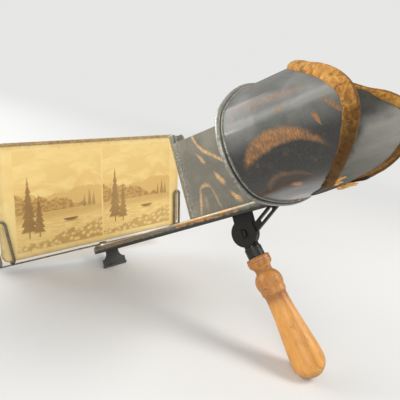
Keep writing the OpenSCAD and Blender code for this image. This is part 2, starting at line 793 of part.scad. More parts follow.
module crossbar() {
    color([0.30, 0.27, 0.23]) on_holder() {
        difference() {
            translate([0, bar_mid, bar_z]) linear_extrude(bar_t - 0.05) difference() {
                union() {
                    square([60, bar_w], center = true);
                    for (s = [-1, 1]) {
                        polygon([[s * 29, -bar_w / 2], [s * end_x(s), -bar_end / 2],
                            [s * end_x(s), bar_end / 2], [s * 29, bar_w / 2]]);
                        translate([s * end_x(s), 0]) circle(bar_end / 2, $fn = 40);
                    }
                }
                // lightening slots
                mirrored() {
                    translate([30, -1.5]) square([40, 3]);
                    for (x = [30, 70]) translate([x, 0]) circle(1.5, $fn = 28);
                }
            }
            cylinder(r = 2 + run, h = 10, $fn = 36);
        }
        // tongues to the outer wires, their ends curled round them
        for (s = [-1, 1]) {
            translate([s > 0 ? end_x(s) : -outer_x(s), bar_mid - 2.2, bar_z])
                cube([outer_x(s) - end_x(s), 4.4, bar_t - 0.05]);
            translate([s * outer_x(s), bar_mid + 2.2, wire_z]) rotate([90, 0, 0]) difference() {
                cylinder(r = wire_r + 0.9, h = 4.4, $fn = 40);
                translate([0, 0, -1]) cylinder(r = wire_r + 0.06, h = 8, $fn = 32);
                translate([s > 0 ? -6 : 0.3, -1.0, -1]) cube([5.7, 6, 8]);
            }
        }
    }
}

// straight wire along the z axis; its ends run a little into the bends
module wire(from, to) {
    translate([0, 0, from - lap]) cylinder(r = wire_r, h = to - from + 2 * lap, $fn = 24);
}

// bend of the wire, a shade thicker, in the y-z plane: starts straight down
// below the centre and turns toward +y
module bend(angle, r) {
    rotate([90, 0, 90]) rotate([0, 0, -90])
        rotate_extrude(angle = angle, $fn = 48) translate([r, 0]) circle(wire_r + 0.03, $fn = 24);
}

// one wire bent into a tall loop behind the cards and a low loop in front
module card_clip(s) {
    w = outer_x(s) - inner_x(s);
    turn_f = 90 - card_lean;
    turn_b = 90 + card_lean;
    cut_f = bend_r * tan(turn_f / 2);
    cut_b = bend_r * tan(turn_b / 2);
    color([0.25, 0.23, 0.20]) on_holder() {
        for (x = [inner_x(s), outer_x(s)]) translate([s * x, 0, wire_z]) {
            // crossing under the cards, its bends, and the rear leg
            translate([0, yf, 0]) rotate([-90, 0, 0]) wire(cut_f, yb - yf - cut_b);
            translate([0, yf + cut_f, bend_r]) rotate([0, 0, 180]) bend(turn_f, bend_r);
            translate([0, yb - cut_b, bend_r]) bend(turn_b, bend_r);
            translate([0, yb, 0]) rotate([card_lean, 0, 0]) wire(cut_b, rear_loop - w / 2);
        }
        translate([s * (inner_x(s) + w / 2), yb, wire_z]) rotate([card_lean, 0, 0])
            translate([0, 0, rear_loop - w / 2]) loop_top(w);
        // front loop, turned outward about its inner leg
        translate([s * inner_x(s), yf, wire_z]) rotate([card_lean, 0, 0]) translate([0, 0, cut_f])
            rotate([0, s * lean_out(s), 0]) {
                gap_w = leg_gap(s);
                high = front_loop - gap_w / 2 - cut_f;
                wire(0, high);
                translate([s * gap_w, 0, 0]) wire(gap_w * tan(lean_out(s)), high);
                translate([s * gap_w / 2, 0, high]) loop_top(gap_w);
            }
    }
}

module loop_top(w) {
    rotate([90, 0, 0]) rotate_extrude(angle = 180, $fn = 48) translate([w / 2, 0]) circle(wire_r + 0.03, $fn = 24);
}

module left_card_clip() card_clip(-1);
module right_card_clip() card_clip(1);

// Cards

module card(k, h) {
    // each card stands on the wires, so one further back slips down a little
    w0 = k * (card_t + 0.05);
    on_holder() leaned() translate([0, w0, -w0 * tan(card_lean)]) rotate([-90, 0, 0])
        mirror([0, 1, 0]) linear_extrude(card_t) intersection() {
            translate([-card_w / 2, 0]) square([card_w, h]);
            union() {
                translate([-card_w / 2 + card_corner, 0]) square([card_w - 2 * card_corner, h]);
                translate([-card_w / 2, card_corner]) square([card_w, h - 2 * card_corner]);
                for (x = [-1, 1], y = [card_corner, h - card_corner])
                    translate([x * (card_w / 2 - card_corner), y]) circle(card_corner, $fn = 48);
            }
        }
}

module front_card() color([0.90, 0.82, 0.55]) card(0, card_h);
module middle_card() color([0.86, 0.77, 0.50]) card(1, back_card_h);
module back_card() color([0.83, 0.74, 0.48]) card(2, back_card_h);

hood();
hood_trim();
lens_board();
left_lens();
right_lens();
left_lens_frame();
right_lens_frame();
lens_frame_screws();
septum();
septum_rivets();
rail();
rail_filler();
rail_rivets();
handle_bracket();
bracket_screws();
pivot_screw();
pivot_nut();
handle_ferrule();
handle_grip();
handle_tang();
ferrule_pin();
guide_plate();
finger_tab();
slide_stud();
swivel_washer();
friction_spring();
crossbar();
left_card_clip();
right_card_clip();
front_card();
middle_card();
back_card();
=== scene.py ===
"""Folding sheet-metal stereoscope: looks, plush edging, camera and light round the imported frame."""
import json
import math

import bpy
from mathutils import Matrix, Vector, noise


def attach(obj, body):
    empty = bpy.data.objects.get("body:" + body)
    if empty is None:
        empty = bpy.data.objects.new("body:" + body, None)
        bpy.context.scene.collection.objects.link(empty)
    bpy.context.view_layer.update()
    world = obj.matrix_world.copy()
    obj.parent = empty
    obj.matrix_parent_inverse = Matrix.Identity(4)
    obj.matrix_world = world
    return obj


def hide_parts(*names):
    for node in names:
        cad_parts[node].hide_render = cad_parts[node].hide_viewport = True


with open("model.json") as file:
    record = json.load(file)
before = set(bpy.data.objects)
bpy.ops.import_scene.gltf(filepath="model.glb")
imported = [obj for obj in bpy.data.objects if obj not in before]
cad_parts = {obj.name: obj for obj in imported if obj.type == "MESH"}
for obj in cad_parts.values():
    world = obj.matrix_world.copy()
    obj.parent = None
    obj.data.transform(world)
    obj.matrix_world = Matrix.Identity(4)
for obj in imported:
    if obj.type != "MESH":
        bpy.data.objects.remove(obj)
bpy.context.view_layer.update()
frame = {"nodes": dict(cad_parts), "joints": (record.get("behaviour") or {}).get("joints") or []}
nodes = frame["nodes"]

# Frames, in mm

joints = {joint["name"]: joint for joint in frame["joints"]}


def joint_place(name):
    return Vector(joints[name]["pos_m"]) * 1000.0


def joint_axis(name):
    return Vector(joints[name]["axis"])


PIVOT = Vector((0.0, -42.2, -20.0))     # the handle's hinge screw in the rail's own frame
CARD_FOOT = Vector((0.0, -2.2, 4.4))
HANDLE_LEAN = math.radians(12.9)

# the rail's frame slopes as the card holder slides, and is placed by the handle's hinge
slide = joint_axis("card_slide")
SLOPE = Matrix.Rotation(math.atan2(slide.z, slide.y), 4, "X")
RAIL = Matrix.Translation(joint_place("handle_fold") - SLOPE @ PIVOT) @ SLOPE
# the holder's frame is askew on the stud, and the cards lean back in it
stud = RAIL.inverted() @ joint_place("holder_turn")
up = SLOPE.inverted() @ joint_axis("front_card_lift")
HOLDER = RAIL @ Matrix.Translation((0.0, stud.y, 0.0))
HOLDER = HOLDER @ Matrix.Rotation(math.atan2(up.x, -up.y), 4, "Z")
CARD = HOLDER @ Matrix.Translation(CARD_FOOT) @ Matrix.Rotation(math.acos(up.z), 4, "X")
HANDLE = RAIL @ Matrix.Translation(PIVOT) @ Matrix.Rotation(-HANDLE_LEAN, 4, "X")

# the hood in the rail frame, with the face at -y: its section of arcs that meet as tangents
HALF_W, SIDE_R, CHEEK_R, FLOOR = 72.0, 27.0, 32.8, -7.0
AX, BX = HALF_W - SIDE_R, HALF_W - CHEEK_R      # how far out the side and cheek arcs are centred
MID = FLOOR + CHEEK_R + BX / 8          # height at which the hood is widest
# height of the centre and radius of the crown's arc and of the floor's
TOP_C, TOP_R = MID - 4 / 3 * AX, 5 / 3 * AX + SIDE_R
BOT_C, BOT_R = MID + 63 / 16 * BX, 65 / 16 * BX + CHEEK_R
# slopes at which those meet the side's arc and the cheek's
TOP_A = math.atan2(MID - TOP_C, AX)
BOT_A = math.atan2(BOT_C - MID, BX)
# arcs of one half of the section, from the floor's middle up the +x side
ARCS = [(0.0, BOT_C, BOT_R, -math.pi / 2, -BOT_A), (BX, MID, CHEEK_R, -BOT_A, 0.0),
        (AX, MID, SIDE_R, 0.0, TOP_A), (0.0, TOP_C, TOP_R, TOP_A, math.pi / 2)]
HALF_LOOP = sum(r * (t1 - t0) for _, _, r, t0, t1 in ARCS)
FLOOR_RISE = 0.5 / BOT_R                # about how its floor rises, over x squared
FACE_Y, FACE_R = -200.5, 83.5           # the curve cut for the face
NOSE_Y, NOSE_R, NOSE_TOP = -136.0, 36.0, 17.0   # the notch for the nose
SHEET = 0.7                             # thickness


def place(v):
    """A point in mm of the rail's frame, in metres of the row's."""
    return (RAIL @ Vector(v)) / 1000.0


# Node helpers

class Mat:
    """A material with one Principled shader, and short ways to add nodes."""

    def __init__(self, name, rough, metal=0.0, **sockets):
        self.mat = bpy.data.materials.new(name)
        self.mat.use_nodes = True
        self.tree = self.mat.node_tree
        self.tree.nodes.clear()
        self.out = self.tree.nodes.new("ShaderNodeOutputMaterial")
        self.bsdf = self.tree.nodes.new("ShaderNodeBsdfPrincipled")
        self.tree.links.new(self.bsdf.outputs[0], self.out.inputs["Surface"])
        self.bsdf.inputs["Roughness"].default_value = rough
        self.bsdf.inputs["Metallic"].default_value = metal
        for key, value in sockets.items():
            self.bsdf.inputs[key.replace("_", " ")].default_value = value

    def put(self, socket, value):
        if isinstance(value, bpy.types.NodeSocket):
            self.tree.links.new(value, socket)
        elif hasattr(value, "__len__") and len(value) == 3 and len(socket.default_value) == 4:
            socket.default_value = (*value, 1.0)
        else:
            socket.default_value = value

    def new(self, kind, inputs=(), **props):
        node = self.tree.nodes.new(kind)
        for key, value in props.items():
            setattr(node, key, value)
        for i, value in enumerate(inputs):
            if value is not None:
                self.put(node.inputs[i], value)
        return node

    def m(self, op, a, b=None):
        return self.new("ShaderNodeMath", (a, b), operation=op).outputs[0]

    def add(self, a, b):
        return self.m("ADD", a, b)

    def sub(self, a, b):
        return self.m("SUBTRACT", a, b)

    def mul(self, a, b):
        return self.m("MULTIPLY", a, b)

    def apart(self, a, b):
        """Distance between two values."""
        return self.m("ABSOLUTE", self.sub(a, b))

    def length(self, a, b):
        return self.m("SQRT", self.add(self.mul(a, a), self.mul(b, b)))

    def top(self, *values):
        out = values[0]
        for v in values[1:]:
            out = self.m("MAXIMUM", out, v)
        return out

    def total(self, *values):
        out = values[0]
        for v in values[1:]:
            out = self.add(out, v)
        return out

    def line(self, value, low, high, to_low=0.0, to_high=1.0):
        """Value between low and high, mapped straight and clamped."""
        return self.new("ShaderNodeMapRange", (value, low, high, to_low, to_high)).outputs[0]

    def step(self, value, low, high, to_low=0.0, to_high=1.0):
        """The same as a smooth step. Reversed limits give a falling step."""
        node = self.new("ShaderNodeMapRange", (value, low, high, to_low, to_high))
        node.interpolation_type = "SMOOTHSTEP"
        return node.outputs[0]

    def coords(self, matrix):
        """Object coordinates turned into mm of one of the frames."""
        tex = self.new("ShaderNodeTexCoord")
        inv = matrix.inverted()
        node = self.new("ShaderNodeMapping", vector_type="POINT")
        self.put(node.inputs["Vector"], tex.outputs["Object"])
        node.inputs["Scale"].default_value = (1000.0, 1000.0, 1000.0)
        node.inputs["Rotation"].default_value = inv.to_3x3().to_euler("XYZ")
        node.inputs["Location"].default_value = inv.to_translation()
        return node.outputs[0]

    def normal(self, matrix):
        """The surface's own normal, turned into one of the frames."""
        tex = self.new("ShaderNodeTexCoord")
        node = self.new("ShaderNodeMapping", vector_type="VECTOR")
        self.put(node.inputs["Vector"], tex.outputs["Normal"])
        node.inputs["Rotation"].default_value = matrix.inverted().to_3x3().to_euler("XYZ")
        return node.outputs[0]

    def xyz(self, vector):
        return self.new("ShaderNodeSeparateXYZ", (vector,)).outputs

    def vec(self, x, y):
        return self.new("ShaderNodeCombineXYZ", (x, y)).outputs[0]

    def scale(self, vector, factors):
        return self.new("ShaderNodeVectorMath", (vector, factors), operation="MULTIPLY").outputs[0]

    def noise(self, vector, scale, detail=3.0, rough=0.55, distort=0.0, colour=False):
        node = self.new("ShaderNodeTexNoise")
        self.put(node.inputs["Vector"], vector)
        for key, value in (("Scale", scale), ("Detail", detail),
                           ("Roughness", rough), ("Distortion", distort)):
            self.put(node.inputs[key], value)
        return node.outputs["Color" if colour else "Fac"]

    def cells(self, vector, scale):
        """Distance to the nearest of scattered points."""
        node = self.new("ShaderNodeTexVoronoi")
        self.put(node.inputs["Vector"], vector)
        node.inputs["Scale"].default_value = scale
        return node.outputs["Distance"]

    def mix(self, fac, a, b):
        node = self.new("ShaderNodeMix", data_type="RGBA")
        self.put(node.inputs[0], fac)
        self.put(node.inputs[6], a)
        self.put(node.inputs[7], b)
        return node.outputs[2]

    def ramp(self, fac, stops):
        node = self.new("ShaderNodeValToRGB", (fac,))
        ramp = node.color_ramp
        while len(ramp.elements) < len(stops):
            ramp.elements.new(0.5)
        for element, (pos, colour) in zip(ramp.elements, stops):
            element.position = pos
            element.color = (*colour, 1.0)
        return node.outputs[0]

    def bump(self, height, strength, distance, normal=None):
        node = self.new("ShaderNodeBump")
        node.inputs["Strength"].default_value = strength
        node.inputs["Distance"].default_value = distance
        self.put(node.inputs["Height"], height)
        if normal is not None:
            self.put(node.inputs["Normal"], normal)
        return node.outputs["Normal"]

    def finish(self, colour=None, rough=None, normal=None, metal=None):
        for key, value in (("Base Color", colour), ("Roughness", rough),
                           ("Normal", normal), ("Metallic", metal)):
            if value is not None:
                self.put(self.bsdf.inputs[key], value)
        return self.mat

    # painted strokes in a plane (a, b), each a mask from 0 to 1 with its middle at (ca, cb)

    def leaf(self, a, b, ca, cb, angle, half_length, half_width, soft=0.3, point=0.0):
        """Leaf-shaped stroke, its length turned by angle from a."""
        co, si = math.cos(math.radians(angle)), math.sin(math.radians(angle))
        da, db = self.sub(a, ca), self.sub(b, cb)
        u = self.mul(self.add(self.mul(da, co), self.mul(db, si)), 1.0 / half_length)
        v = self.mul(self.sub(self.mul(db, co), self.mul(da, si)), 1.0 / half_width)
        if point:
            v = self.m("DIVIDE", v, self.line(u, -1.0, 1.0, 1.0 + point, 1.0 - point))
        return self.step(self.length(u, v), 1.0 + soft, 1.0 - soft)

    def arc(self, a, b, ca, cb, radius, start, end, width, soft=0.6, widest=0.5):
        """Stroke along a circle from angle start to end, in degrees; widest says how far along."""
        da, db = self.sub(a, ca), self.sub(b, cb)
        t = self.line(self.m("ARCTAN2", db, da), math.radians(start), math.radians(end))
        up = self.step(t, 0.0, max(widest, 0.02))
        down = self.step(t, 1.0, min(widest, 0.98))
        w = self.mul(self.mul(up, down), width)
        off = self.apart(self.length(da, db), radius)
        return self.mul(self.step(self.sub(off, w), soft, -soft), self.step(w, 0.02, 0.25 * width))

    def draw(self, a, b, rows):
        """All strokes of a table: rows of strength, shape and the shape's own numbers."""
        return self.top(*(self.mul(shape(self, a, b, *numbers), strength)
                          for strength, shape, *numbers in rows))


# Japanned sheet metal

BLACK = (0.011, 0.010, 0.008)
UNDER_VARNISH = ((0.15, 0.052, 0.013), (0.34, 0.145, 0.034), (0.55, 0.29, 0.095))
WORN_GOLD = ((0.42, 0.195, 0.060), (0.78, 0.450, 0.165), (0.90, 0.68, 0.36))
BARE_TIN = ((0.30, (0.20, 0.13, 0.08)), (0.40, (0.33, 0.32, 0.27)), (0.62, (0.52, 0.51, 0.45)))
# grey of the painted light inside the hood
PAINTED_LIGHT_GREY = (0.47, 0.465, 0.42)
DUST, SCRATCHED = (0.30, 0.29, 0.24), (0.42, 0.40, 0.33)

HALF_H, ROUND_MM = 42.0, 50.0           # scale of the painter's plane round the hood
BEAD_Y, RING_Y = -85.8, -87.1           # the hood's rolled edge and the swaged ring behind it
# the patch of painted light inside the hood is gone above PATCH_TOP, whole below PATCH_FULL, and both
# are lower the farther it is beyond PATCH_Y
PATCH_Y, PATCH_TOP, PATCH_FULL = -127.0, 44.0, 31.0
SEPTUM_TOP = 59.4
TAB_Y, TAB_Z, TAB_R = -2.0, 61.9, 6.2   # the septum's raised tab

# haze: its colour, its least and most strength, and how dirty the varnish is; the grey haze is dull
# varnish and, on the hood and the septum, painted reflection
HOOD_HAZE = ((0.23, 0.23, 0.205), 0.55, 0.95, 0.16)
SEPTUM_HAZE = ((0.255, 0.235, 0.180), 0.60, 1.0, 0.65)
BOARD_HAZE = ((0.070, 0.066, 0.055), 0.3, 0.9, 0.35)


def japan(name, plane, strokes, haze, tones, wear=None, inside=None, veil=None):
    """Black japan with painted strokes under its varnish, scratched, hazy and a little dusty; the
    grey haze is dull varnish and painted reflection.

    plane gives the two coordinates that the strokes are drawn in. tones are their dark, middle
    and pale colour. wear, inside and veil are masks that only some pieces have.
    """
    k = Mat(name, 0.40, Specular_IOR_Level=0.42, Coat_Weight=0.5, Coat_Roughness=0.12, Coat_IOR=1.5)
    p = k.coords(RAIL)
    x, y, z = k.xyz(p)
    haze_colour, haze_least, haze_most, amount = haze
    # the painter's hand: strokes that waver widely and finely
    wx, wy, _ = k.xyz(k.noise(p, 0.11, 2.0, 0.5, colour=True))
    fine = k.noise(p, 0.9, 4.0, 0.6)
    jitter = k.mul(k.sub(fine, 0.5), 0.9)
    true_a, true_b = plane(k, x, y, z)
    a = k.total(true_a, k.mul(k.sub(wx, 0.5), 3.2), jitter)
    b = k.total(true_b, k.mul(k.sub(wy, 0.5), 3.2), jitter)

    # grey haze over the black: dull varnish, and on the hood and septum painted reflection
    dull_and_reflection = k.step(k.noise(p, 0.035, 4.0, 0.6), 0.38, 0.66, haze_least, haze_most)
    if veil:
        # scuffing and painted reflection, thinner toward the far side
        dull_and_reflection = k.mul(k.mul(dull_and_reflection, veil(k, true_a, b)), k.line(x, -30.0, 30.0, 1.0, 0.6))
    colour = k.mix(dull_and_reflection, BLACK, haze_colour)
    streaks = k.noise(k.scale(k.vec(a, b), (0.35, 1.6, 1.0)), 0.9, 4.0, 0.65)
    tone = k.ramp(streaks, tuple(zip((0.30, 0.50, 0.70), tones)))
    mask = k.mul(strokes(k, a, b), k.line(k.noise(p, 0.30, 4.0, 0.6), 0.35, 0.65, 0.62, 0.96))
    if inside:
        # the inner face has no strokes, and low near the face a patch of painted light
        within, lit_patch = inside(k, p, x, y, z, wx)
        mask = k.mul(mask, k.sub(1.0, within))
        colour = k.mix(k.mul(within, lit_patch), colour, PAINTED_LIGHT_GREY)
    colour = k.mix(mask, colour, tone)

    scratch = k.step(k.noise(k.scale(p, (0.25, 0.9, 0.25)), 1.4, 5.0, 0.7, 0.4), 0.63, 0.70)
    dust = k.step(k.noise(p, 0.25, 6.0, 0.7), 0.50, 0.80)
    specks = k.top(k.step(k.cells(p, 0.50), 0.11, 0.05),
                   k.mul(k.step(k.noise(p, 1.5, 3.0, 0.6), 0.60, 0.68), 0.8))
    colour = k.mix(k.mul(dust, 0.10), colour, DUST)
    colour = k.mix(k.mul(k.top(specks, k.mul(scratch, 0.7)), amount), colour, SCRATCHED)
    metallic = None
    if wear:
        worn = wear(k, x, y, z, fine)
        colour = k.mix(worn, colour, k.ramp(k.noise(p, 0.5, 4.0), BARE_TIN))
        metallic = k.mul(worn, 0.55)

    rough = k.total(k.line(k.noise(p, 0.06, 4.0), 0.3, 0.7, 0.34, 0.46),
                    k.mul(dust, 0.12), k.mul(scratch, 0.10))
    height = k.total(k.noise(p, 0.06, 2.0), k.mul(scratch, -0.05), k.mul(mask, 0.02))
    dents = k.bump(height, 0.16, 0.0012)
    normal = k.bump(k.noise(p, 3.0, 3.0, 0.6), 0.05, 0.0003, dents)
    k.put(k.bsdf.inputs["Coat Normal"], k.bump(height, 0.09, 0.0010))
    return k.finish(colour, rough, normal, metallic)


def hood_plane(k, x, y, z):
    """Round the hood's section from its widest place, and along the hood, in about mm."""
    up = k.mul(k.sub(z, MID), 1.0 / HALF_H)
    out = k.mul(k.m("ABSOLUTE", x), 1.0 / HALF_W)
    return k.mul(k.m("ARCTAN2", up, out), ROUND_MM), y


# strength, shape and its numbers, along the hood and round it
HOOD_MARKS = (
    (0.34, Mat.arc, -110.5, -45.0, 15.8, 8, 170, 1.5, 1.4, 0.45),
    (1.00, Mat.leaf, -112.4, -39.3, 12, 3.0, 1.7, 0.5),
    (0.46, Mat.leaf, -114.0, 19.6, 7.5, 17.5, 2.6, 0.9),
    (0.55, Mat.leaf, -121.8, 9.8, -20, 2.8, 1.7, 0.8),
    (0.34, Mat.leaf, -108.0, 14.7, -20, 1.8, 1.3, 0.8),
    (0.55, Mat.leaf, -92.1, 15.1, 80, 2.4, 1.0, 0.6),
    (0.90, Mat.leaf, -148.2, 0.0, 60, 7.0, 1.0, 0.6, 0.4),
    (0.95, Mat.leaf, -139.4, -4.6, 74, 3.9, 1.3, 0.45, -0.5),
    (0.18, Mat.leaf, -117.3, -17.7, 20, 1.4, 0.9, 0.8),
    (0.16, Mat.leaf, -130.2, -26.9, 20, 0.8, 0.7, 0.8),
    # crown and floor, which the photo doesn't show
    (0.80, Mat.arc, -104.0, 56.0, 14.0, 20, 165, 3.4, 1.4, 0.40),
    (1.00, Mat.leaf, -96.0, 44.0, 60, 4.2, 1.2, 0.5, 0.4),
    (1.00, Mat.leaf, -112.0, 46.0, 80, 3.6, 1.2, 0.5, -0.4),
    (0.60, Mat.arc, -100.0, -72.0, 12.0, 10, 170, 2.2, 1.2, 0.5),
)
CRESCENT = (-116.0, -33.5)              # middle of the large feathered crescent, along and round


def hood_strokes(k, a, b):
    da, db = k.sub(a, CRESCENT[1]), k.sub(b, CRESCENT[0])
    rays = k.vec(k.mul(k.m("ARCTAN2", da, db), 7.0), k.mul(k.length(da, db), 0.05))
    rays = k.noise(rays, 1.0, 3.0)
    crescent = k.arc(b, a, *CRESCENT, 27.2, 24, 166, 5.4, 1.8, 0.36)
    start = k.arc(b, a, *CRESCENT, 25.6, 26, 64, 4.4, 1.8, 0.40)
    return k.top(k.mul(crescent, k.step(rays, 0.36, 0.60, 0.64, 1.0)),
                 k.mul(start, k.step(rays, 0.46, 0.62, 0.0, 0.85)), k.draw(b, a, HOOD_MARKS))


def hood_inside(k, p, x, y, z, wobble):
    """Masks of the hood's inner face and of a patch of painted light there, low and near the face."""
    nx, _, nz = k.xyz(k.normal(RAIL))
    within = k.step(k.add(k.mul(nx, x), k.mul(nz, k.sub(z, MID))), 2.0, -2.0)
    depth = k.m("MAXIMUM", k.sub(y, PATCH_Y), 0.0)
    low = k.total(z, k.mul(depth, 1.1), k.mul(k.sub(wobble, 0.5), 9.0))
    low = k.step(low, PATCH_TOP, PATCH_FULL, 0.03, 1.0)
    patchy = k.noise(k.scale(p, (1.0, 0.3, 1.0)), 0.12, 5.0, 0.65)
    return within, k.mul(low, k.line(patchy, 0.3, 0.7, 0.72, 1.0))


def hood_scuffs_and_reflection(k, a, b):
    """Lighter grey over the hood's upper half, scuffing and painted reflection, with hairline
    scratches and a painted highlight band along the shoulder.
    """
    hair = k.noise(k.vec(k.mul(a, 2.2), k.mul(b, 0.07)), 0.8, 4.0, 0.7)
    hair = k.mul(k.step(hair, 0.60, 0.70), 0.8)
    cloud = k.line(k.noise(k.vec(k.mul(a, 0.6), b), 0.045, 3.0), 0.35, 0.65, 0.62, 1.0)
    # painted highlight: a lighter band along the shoulder
    painted_highlight_band = k.step(k.apart(a, 9.0), 5.0, 0.5, 0.0, 0.7)
    return k.m("MINIMUM", k.mul(k.step(a, -13.0, 5.0), k.total(cloud, hair, painted_highlight_band)), 2.0)


def rim_wear(k, x, y, z, fine):
    """Paint rubbed off the rolled front edge and the ring behind it."""
    bead = k.mul(k.step(y, BEAD_Y - 0.5, BEAD_Y + 0.5), k.step(fine, 0.30, 0.50, 0.55, 0.98))
    ring = k.mul(k.step(k.apart(y, RING_Y), 0.9, 0.4), k.step(fine, 0.36, 0.54, 0.35, 0.9))
    return k.mul(k.top(bead, ring), k.step(z, -6.0, 44.0, 0.45, 1.0))


def side_plane(k, x, y, z):
    return y, z


# strength, shape and its numbers, along the rail and up
SEPTUM_MARKS = (
    # wavy stroke from the top edge down to the hood
    (1.00, Mat.leaf, -23.4, 56.2, 72, 4.4, 0.9, 0.5),
    (1.00, Mat.leaf, -26.4, 49.4, 62, 4.6, 1.1, 0.5),
    (1.00, Mat.leaf, -31.6, 43.6, 37, 5.4, 1.35, 0.5),
    (1.00, Mat.leaf, -39.2, 37.6, 43, 5.6, 1.2, 0.5),
    (0.85, Mat.leaf, -24.8, 41.0, 60, 4.6, 1.3, 0.5, 0.4),
    (1.00, Mat.leaf, -36.6, 23.0, 58, 5.6, 1.6, 0.5, 0.4),
    (1.00, Mat.leaf, -45.8, 7.1, 56, 5.6, 1.6, 0.5, 0.4),
    # arch with its dim inner drop
    (0.70, Mat.arc, -22.6, 15.8, 5.9, 5, 175, 1.3, 0.9, 0.5),
    (0.85, Mat.leaf, -15.6, 10.4, 105, 9.4, 1.15, 0.6),
    (0.50, Mat.leaf, -29.8, 10.6, 76, 9.0, 0.8, 0.7),
    (0.28, Mat.leaf, -20.6, 8.2, 88, 4.6, 1.0, 0.8),
    # toward the lens board, in the hood's shade
    (1.00, Mat.arc, -66.0, 24.0, 12.0, 20, 160, 2.2, 1.0, 0.4),
    (1.00, Mat.leaf, -60.0, 46.0, 40, 6.0, 1.4, 0.5, 0.4),
    (1.00, Mat.leaf, -72.0, 12.0, 60, 4.6, 1.4, 0.5, 0.4),
)


def septum_strokes(k, a, b):
    return k.draw(a, b, SEPTUM_MARKS)


def septum_wear(k, x, y, z, fine):
    """Bare metal along the tab's rim, the top edge, the nose and the seam."""
    rim = k.step(k.length(k.sub(y, TAB_Y), k.sub(z, TAB_Z)), TAB_R - 0.6, TAB_R)
    rim = k.mul(rim, k.step(z, SEPTUM_TOP - 0.6, SEPTUM_TOP + 0.2))
    seam = k.apart(y, k.sub(-4.2, k.mul(z, 0.041)))
    seam = k.mul(k.step(seam, 0.75, 0.15), k.step(x, -5.0, -5.3))
    edge = k.mul(k.step(z, SEPTUM_TOP - 0.5, SEPTUM_TOP), k.step(y, -6.0, -9.0))
    front = k.mul(k.step(y, -12.5, -4.0), k.step(x, -2.5, -3.8))
    return k.total(k.mul(rim, k.step(fine, 0.40, 0.54, 0.1, 0.9)),
                   k.mul(seam, k.step(fine, 0.42, 0.56, 0.15, 0.9)),
                   k.mul(edge, k.step(fine, 0.46, 0.62, 0.0, 0.6)),
                   k.mul(front, k.step(fine, 0.49, 0.60, 0.0, 0.65)))


def stray_paint(k, a, b):
    """Faint blots of the stroke colour on the pieces that have no strokes."""
    return k.mul(k.step(k.noise(k.vec(a, b), 0.16, 3.0, 0.6, 0.6), 0.63, 0.70), 0.5)


# Bare metal and wood

def worn_tin(name, matrix, base, rust, paint, levels=None):
    """Tin plate whose paint has gone from its edges: grey metal, brown rust, black in the hollows.

    levels, for a piece that is black low down, are the heights where that begins and
    where it is whole.
    """
    k = Mat(name, 0.4, Specular_IOR_Level=0.6)
    p = k.coords(matrix)
    grime = k.noise(p, 0.30, 5.0, 0.65)
    patch = k.noise(k.scale(p, (1.0, 0.22, 1.0)), 0.20, 4.0, 0.6, 0.8)
    grit = k.noise(k.scale(p, (1.0, 0.4, 1.0)), 0.8, 4.0, 0.6)
    colour = k.ramp(k.noise(p, 1.1, 4.0), ((0.30, tuple(c * 0.6 for c in base)), (0.70, base)))
    rusty = k.step(patch, 0.47, 0.62)
    colour = k.mix(k.mul(rusty, k.step(grime, 0.36, 0.56)), colour, rust)
    keep = k.step(k.add(patch, k.mul(grime, 0.6)), 0.80, 0.68)
    if levels:
        _, y, z = k.xyz(p)
        low = k.step(k.add(z, k.mul(k.sub(grime, 0.5), 3.4)), *levels)
        keep = k.top(low, k.mul(keep, k.step(z, -1.2, -2.6, 0.0, 0.6)))
        # most rust below the septum; along the upper edge a bright line, worn metal and a painted
        # highlight
        spot = k.mul(k.step(y, 18.0, 2.0), k.step(y, -58.0, -34.0))
        spot = k.mul(spot, k.step(grime, 0.42, 0.54, 0.0, 0.9))
        colour = k.mix(spot, colour, (0.56, 0.27, 0.085))
        edge = k.mul(k.step(z, -0.9, -0.2), k.step(grit, 0.38, 0.52, 0.2, 0.9))
        colour = k.mix(edge, colour, (0.70, 0.60, 0.42))
    colour = k.mix(keep, colour, paint)
    metallic = k.mul(k.sub(1.0, keep), k.step(rusty, 0.6, 0.1, 0.1, 0.8))
    rough = k.line(grime, 0.3, 0.7, 0.26, 0.50)
    return k.finish(colour, rough, k.bump(k.noise(p, 1.6, 5.0, 0.65), 0.25, 0.0004), metallic)


def metal(name, matrix, tones, metallic, rough, relief, grain, gloss=0.5):
    """Dull metal between a dark and a light tone, with stains in the third."""
    dark, light, stain = tones
    k = Mat(name, rough, metallic, Specular_IOR_Level=gloss)
    p = k.coords(matrix)
    n = k.noise(p, grain, 5.0, 0.6)
    blot = k.step(k.noise(p, 0.35, 4.0, 0.6), 0.50, 0.68)
    colour = k.mix(k.mul(blot, 0.7), k.ramp(n, ((0.32, dark), (0.68, light))), stain)
    rough = k.line(k.add(n, k.mul(blot, 0.4)), 0.3, 1.0, rough * 0.75, min(rough * 1.45, 1.0))
    return k.finish(colour, rough, k.bump(k.noise(p, grain * 1.7, 5.0, 0.7), relief, 0.0004))


